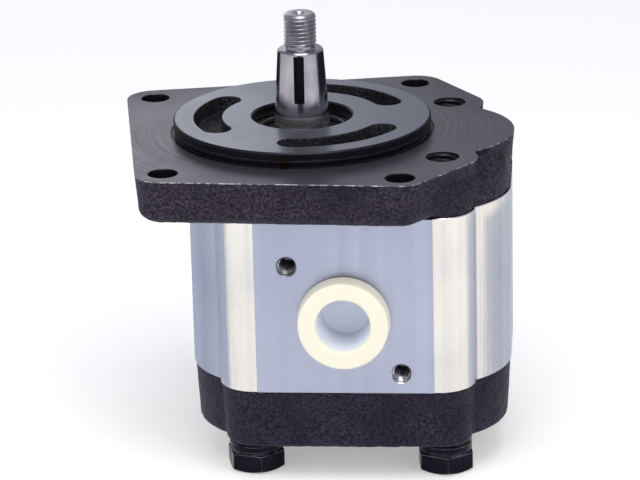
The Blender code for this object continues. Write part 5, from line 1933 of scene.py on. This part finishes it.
class Internals:
    """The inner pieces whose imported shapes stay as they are."""

    FINISHES = {
        Surface.MILLED: ("front_bearing_block", "rear_bearing_block"),
        Surface.BRONZE: ("front_drive_bush", "front_driven_bush", "rear_drive_bush", "rear_driven_bush"),
        Surface.RUBBER: ("front_body_seal", "rear_body_seal", "front_pressure_seal", "rear_pressure_seal"),
        Surface.BEARING_STEEL: (
            "front_dowel_left", "front_dowel_right", "rear_dowel_left", "rear_dowel_right",
        ),
    }

    def __init__(self, palette: Palette) -> None:
        """Takes the palette."""
        self.palette = palette

    def dress(self) -> None:
        """Gives each carried-over node its finish."""
        for surface, nodes in self.FINISHES.items():
            self.palette.dress(nodes, surface)


# Studio


@dataclass
class Studio:
    """Pale floor, soft light and the camera."""

    datum: Vector
    azimuth: float = math.radians(4.806)
    elevation: float = math.radians(19.065)
    roll: float = math.radians(-1.407)
    distance: float = 1020.7 * MM
    aim: Spot = (4.59 * MM, 0.0, -36.39 * MM)
    lens: float = 183.92
    floor_lift: float = 0.36

    def place_camera(self) -> None:
        """A long lens from above the outlet side."""
        data = bpy.data.cameras.new("camera")
        data.lens = self.lens
        data.sensor_width = 36.0
        data.clip_end = 50.0
        camera = linked("camera", data)
        a, e = self.azimuth, self.elevation
        back = Vector((math.sin(a) * math.cos(e), -math.cos(a) * math.cos(e), math.sin(e)))
        turn = back.to_track_quat("Z", "Y").to_matrix().to_4x4()
        place = Matrix.Translation(self.datum + Vector(self.aim) + back * self.distance)
        camera.matrix_world = place @ turn @ Matrix.Rotation(self.roll, 4, "Z")
        bpy.context.scene.camera = camera

    def lay_floor(self) -> None:
        """A pale floor under the bolt heads, white to the camera and in reflections but for shadows."""
        bpy.ops.mesh.primitive_plane_add(size=12.0, location=(0.0, 0.0, -0.0002))
        floor = bpy.context.object
        floor.name = "floor"
        material, nodes, shader = new_material("floor")
        shader.inputs["Base Color"].default_value = (0.85, 0.85, 0.85, 1.0)
        shader.inputs["Roughness"].default_value = 0.9
        shader.inputs["Specular IOR Level"].default_value = 0.0
        rays = nodes.add("LightPath").outputs
        reflected = nodes.math("MAXIMUM", rays["Is Glossy Ray"], rays["Is Transmission Ray"])
        seen = nodes.math("MAXIMUM", rays["Is Camera Ray"], reflected)
        lift = nodes.math("MULTIPLY", seen, self.floor_lift)
        glow = nodes.add("Emission", {"Color": (1.0, 1.0, 1.0, 1.0), "Strength": lift})
        both = nodes.add("AddShader", {0: shader.outputs[0], 1: glow.outputs[0]})
        nodes.link(both.outputs[0], nodes.tree.nodes["Material Output"].inputs["Surface"])
        floor.data.materials.append(material)

    def card(self, name: str, span: Point, radius: float, heights: Point, shade: Color) -> None:
        """A bent card that only reflections see, as a studio uses to shape metal.

        Args:
            name: The card's name.
            span: Its first and last direction, in degrees.
            radius: Its distance from the middle.
            heights: Its lower and upper edge.
            shade: Its colour.
        """
        arc = arc_points((0.0, 0.0), radius, *(math.radians(a - 90.0) for a in span), math.radians(4))
        shape = bmesh.new()
        rows = [[shape.verts.new((x, y, z)) for x, y in arc] for z in heights]
        for i in range(len(arc) - 1):
            shape.faces.new((rows[0][i], rows[0][i + 1], rows[1][i + 1], rows[1][i]))
        mesh = bpy.data.meshes.new(name)
        shape.to_mesh(mesh)
        shape.free()
        card = linked(name, mesh)
        material, nodes, _ = new_material(name)
        glow = nodes.add("Emission", {"Color": (*shade, 1.0), "Strength": 1.0})
        nodes.link(glow.outputs[0], nodes.tree.nodes["Material Output"].inputs["Surface"])
        mesh.materials.append(material)
        card.visible_camera = card.visible_diffuse = card.visible_shadow = False
        card.visible_transmission = card.visible_volume_scatter = False

    def panel(
        self,
        name: str,
        size: Point,
        place: Point,
        height: float,
        power: float,
        color: Color,
        mirrored: bool = False,
    ) -> None:
        """A soft panel of light aimed at the pump's middle.

        Args:
            name: The lamp's name.
            size: Its width and height.
            place: Its direction in degrees and its distance along the floor.
            height: Its height above the floor.
            power: Its power.
            color: Its colour.
            mirrored: Whether polished metal shows the panel itself.
        """
        data = bpy.data.lights.new(name, "AREA")
        data.shape = "RECTANGLE"
        data.size, data.size_y = size
        data.energy = power
        data.color = color
        lamp = linked(name, data)
        angle = math.radians(place[0])
        lamp.location = (math.sin(angle) * place[1], -math.cos(angle) * place[1], height)
        aim = Vector((0.0, 0.0, 0.07)) - lamp.location
        lamp.rotation_euler = aim.to_track_quat("-Z", "Y").to_euler()
        lamp.visible_glossy = mirrored

    def light(self) -> None:
        """A grey surround with soft panels at the sides, in front and above."""
        world = bpy.data.worlds.new("surround")
        bpy.context.scene.world = world
        world.use_nodes = True
        world.node_tree.nodes["Background"].inputs["Color"].default_value = (0.36, 0.37, 0.42, 1.0)
        self.panel("overhead", (0.9, 0.9), (10.0, 0.5), 1.3, 7.6, (1.0, 0.99, 0.97), True)
        self.panel("left", (0.45, 0.6), (-50.0, 0.62), 0.32, 1.5, (1.0, 0.96, 0.88))
        self.panel("right", (0.35, 0.6), (48.0, 0.62), 0.32, 1.5, (1.0, 0.95, 0.87))
        self.panel("back", (0.7, 0.5), (-158.0, 1.19), 0.5, 1.0, (0.97, 0.98, 1.0), True)
        dark, grey, pale = (0.02, 0.018, 0.03), (0.46, 0.53, 0.72), (0.62, 0.66, 0.80)
        self.card("front_card", (-14.0, 10.0), 0.12, (0.072, 0.115), dark)
        self.card("right_card", (86.0, 165.0), 0.12, (0.075, 0.118), dark)
        self.card("left_card", (-172.0, -108.0), 0.12, (0.075, 0.118), dark)
        self.card("left_grey", (-165.0, -56.0), 0.08, (0.0, 0.075), grey)
        self.card("right_grey", (67.0, 165.0), 0.08, (0.0, 0.075), pale)
        bpy.context.scene.view_settings.view_transform = "Standard"


def main() -> None:
    """Builds the pump's looks, piece by piece, then the studio."""
    logging.basicConfig(level=logging.INFO, format="%(message)s")
    low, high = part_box("front_drive_bush")
    datum = (low + high) / 2
    datum.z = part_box("front_flange")[1].z - PumpLayout.pilot_height
    layout = PumpLayout(datum)
    palette = Palette(datum)
    MountingFlange(layout, palette).build()
    AluminiumBody(layout, palette).build()
    RearCover(layout, palette).build()
    BodyBolts(layout, palette).build()
    GearSet(layout, palette).build()
    ShaftSealing(layout, palette).build()
    PortPlug(layout, palette, PortSide.OUTLET, AluminiumBody.outlet[0]).build()
    PortPlug(layout, palette, PortSide.INLET, AluminiumBody.inlet[0]).build()
    Internals(palette).dress()
    studio = Studio(datum)
    studio.place_camera()
    studio.lay_floor()
    studio.light()


if __name__ == "__main__":
    main()
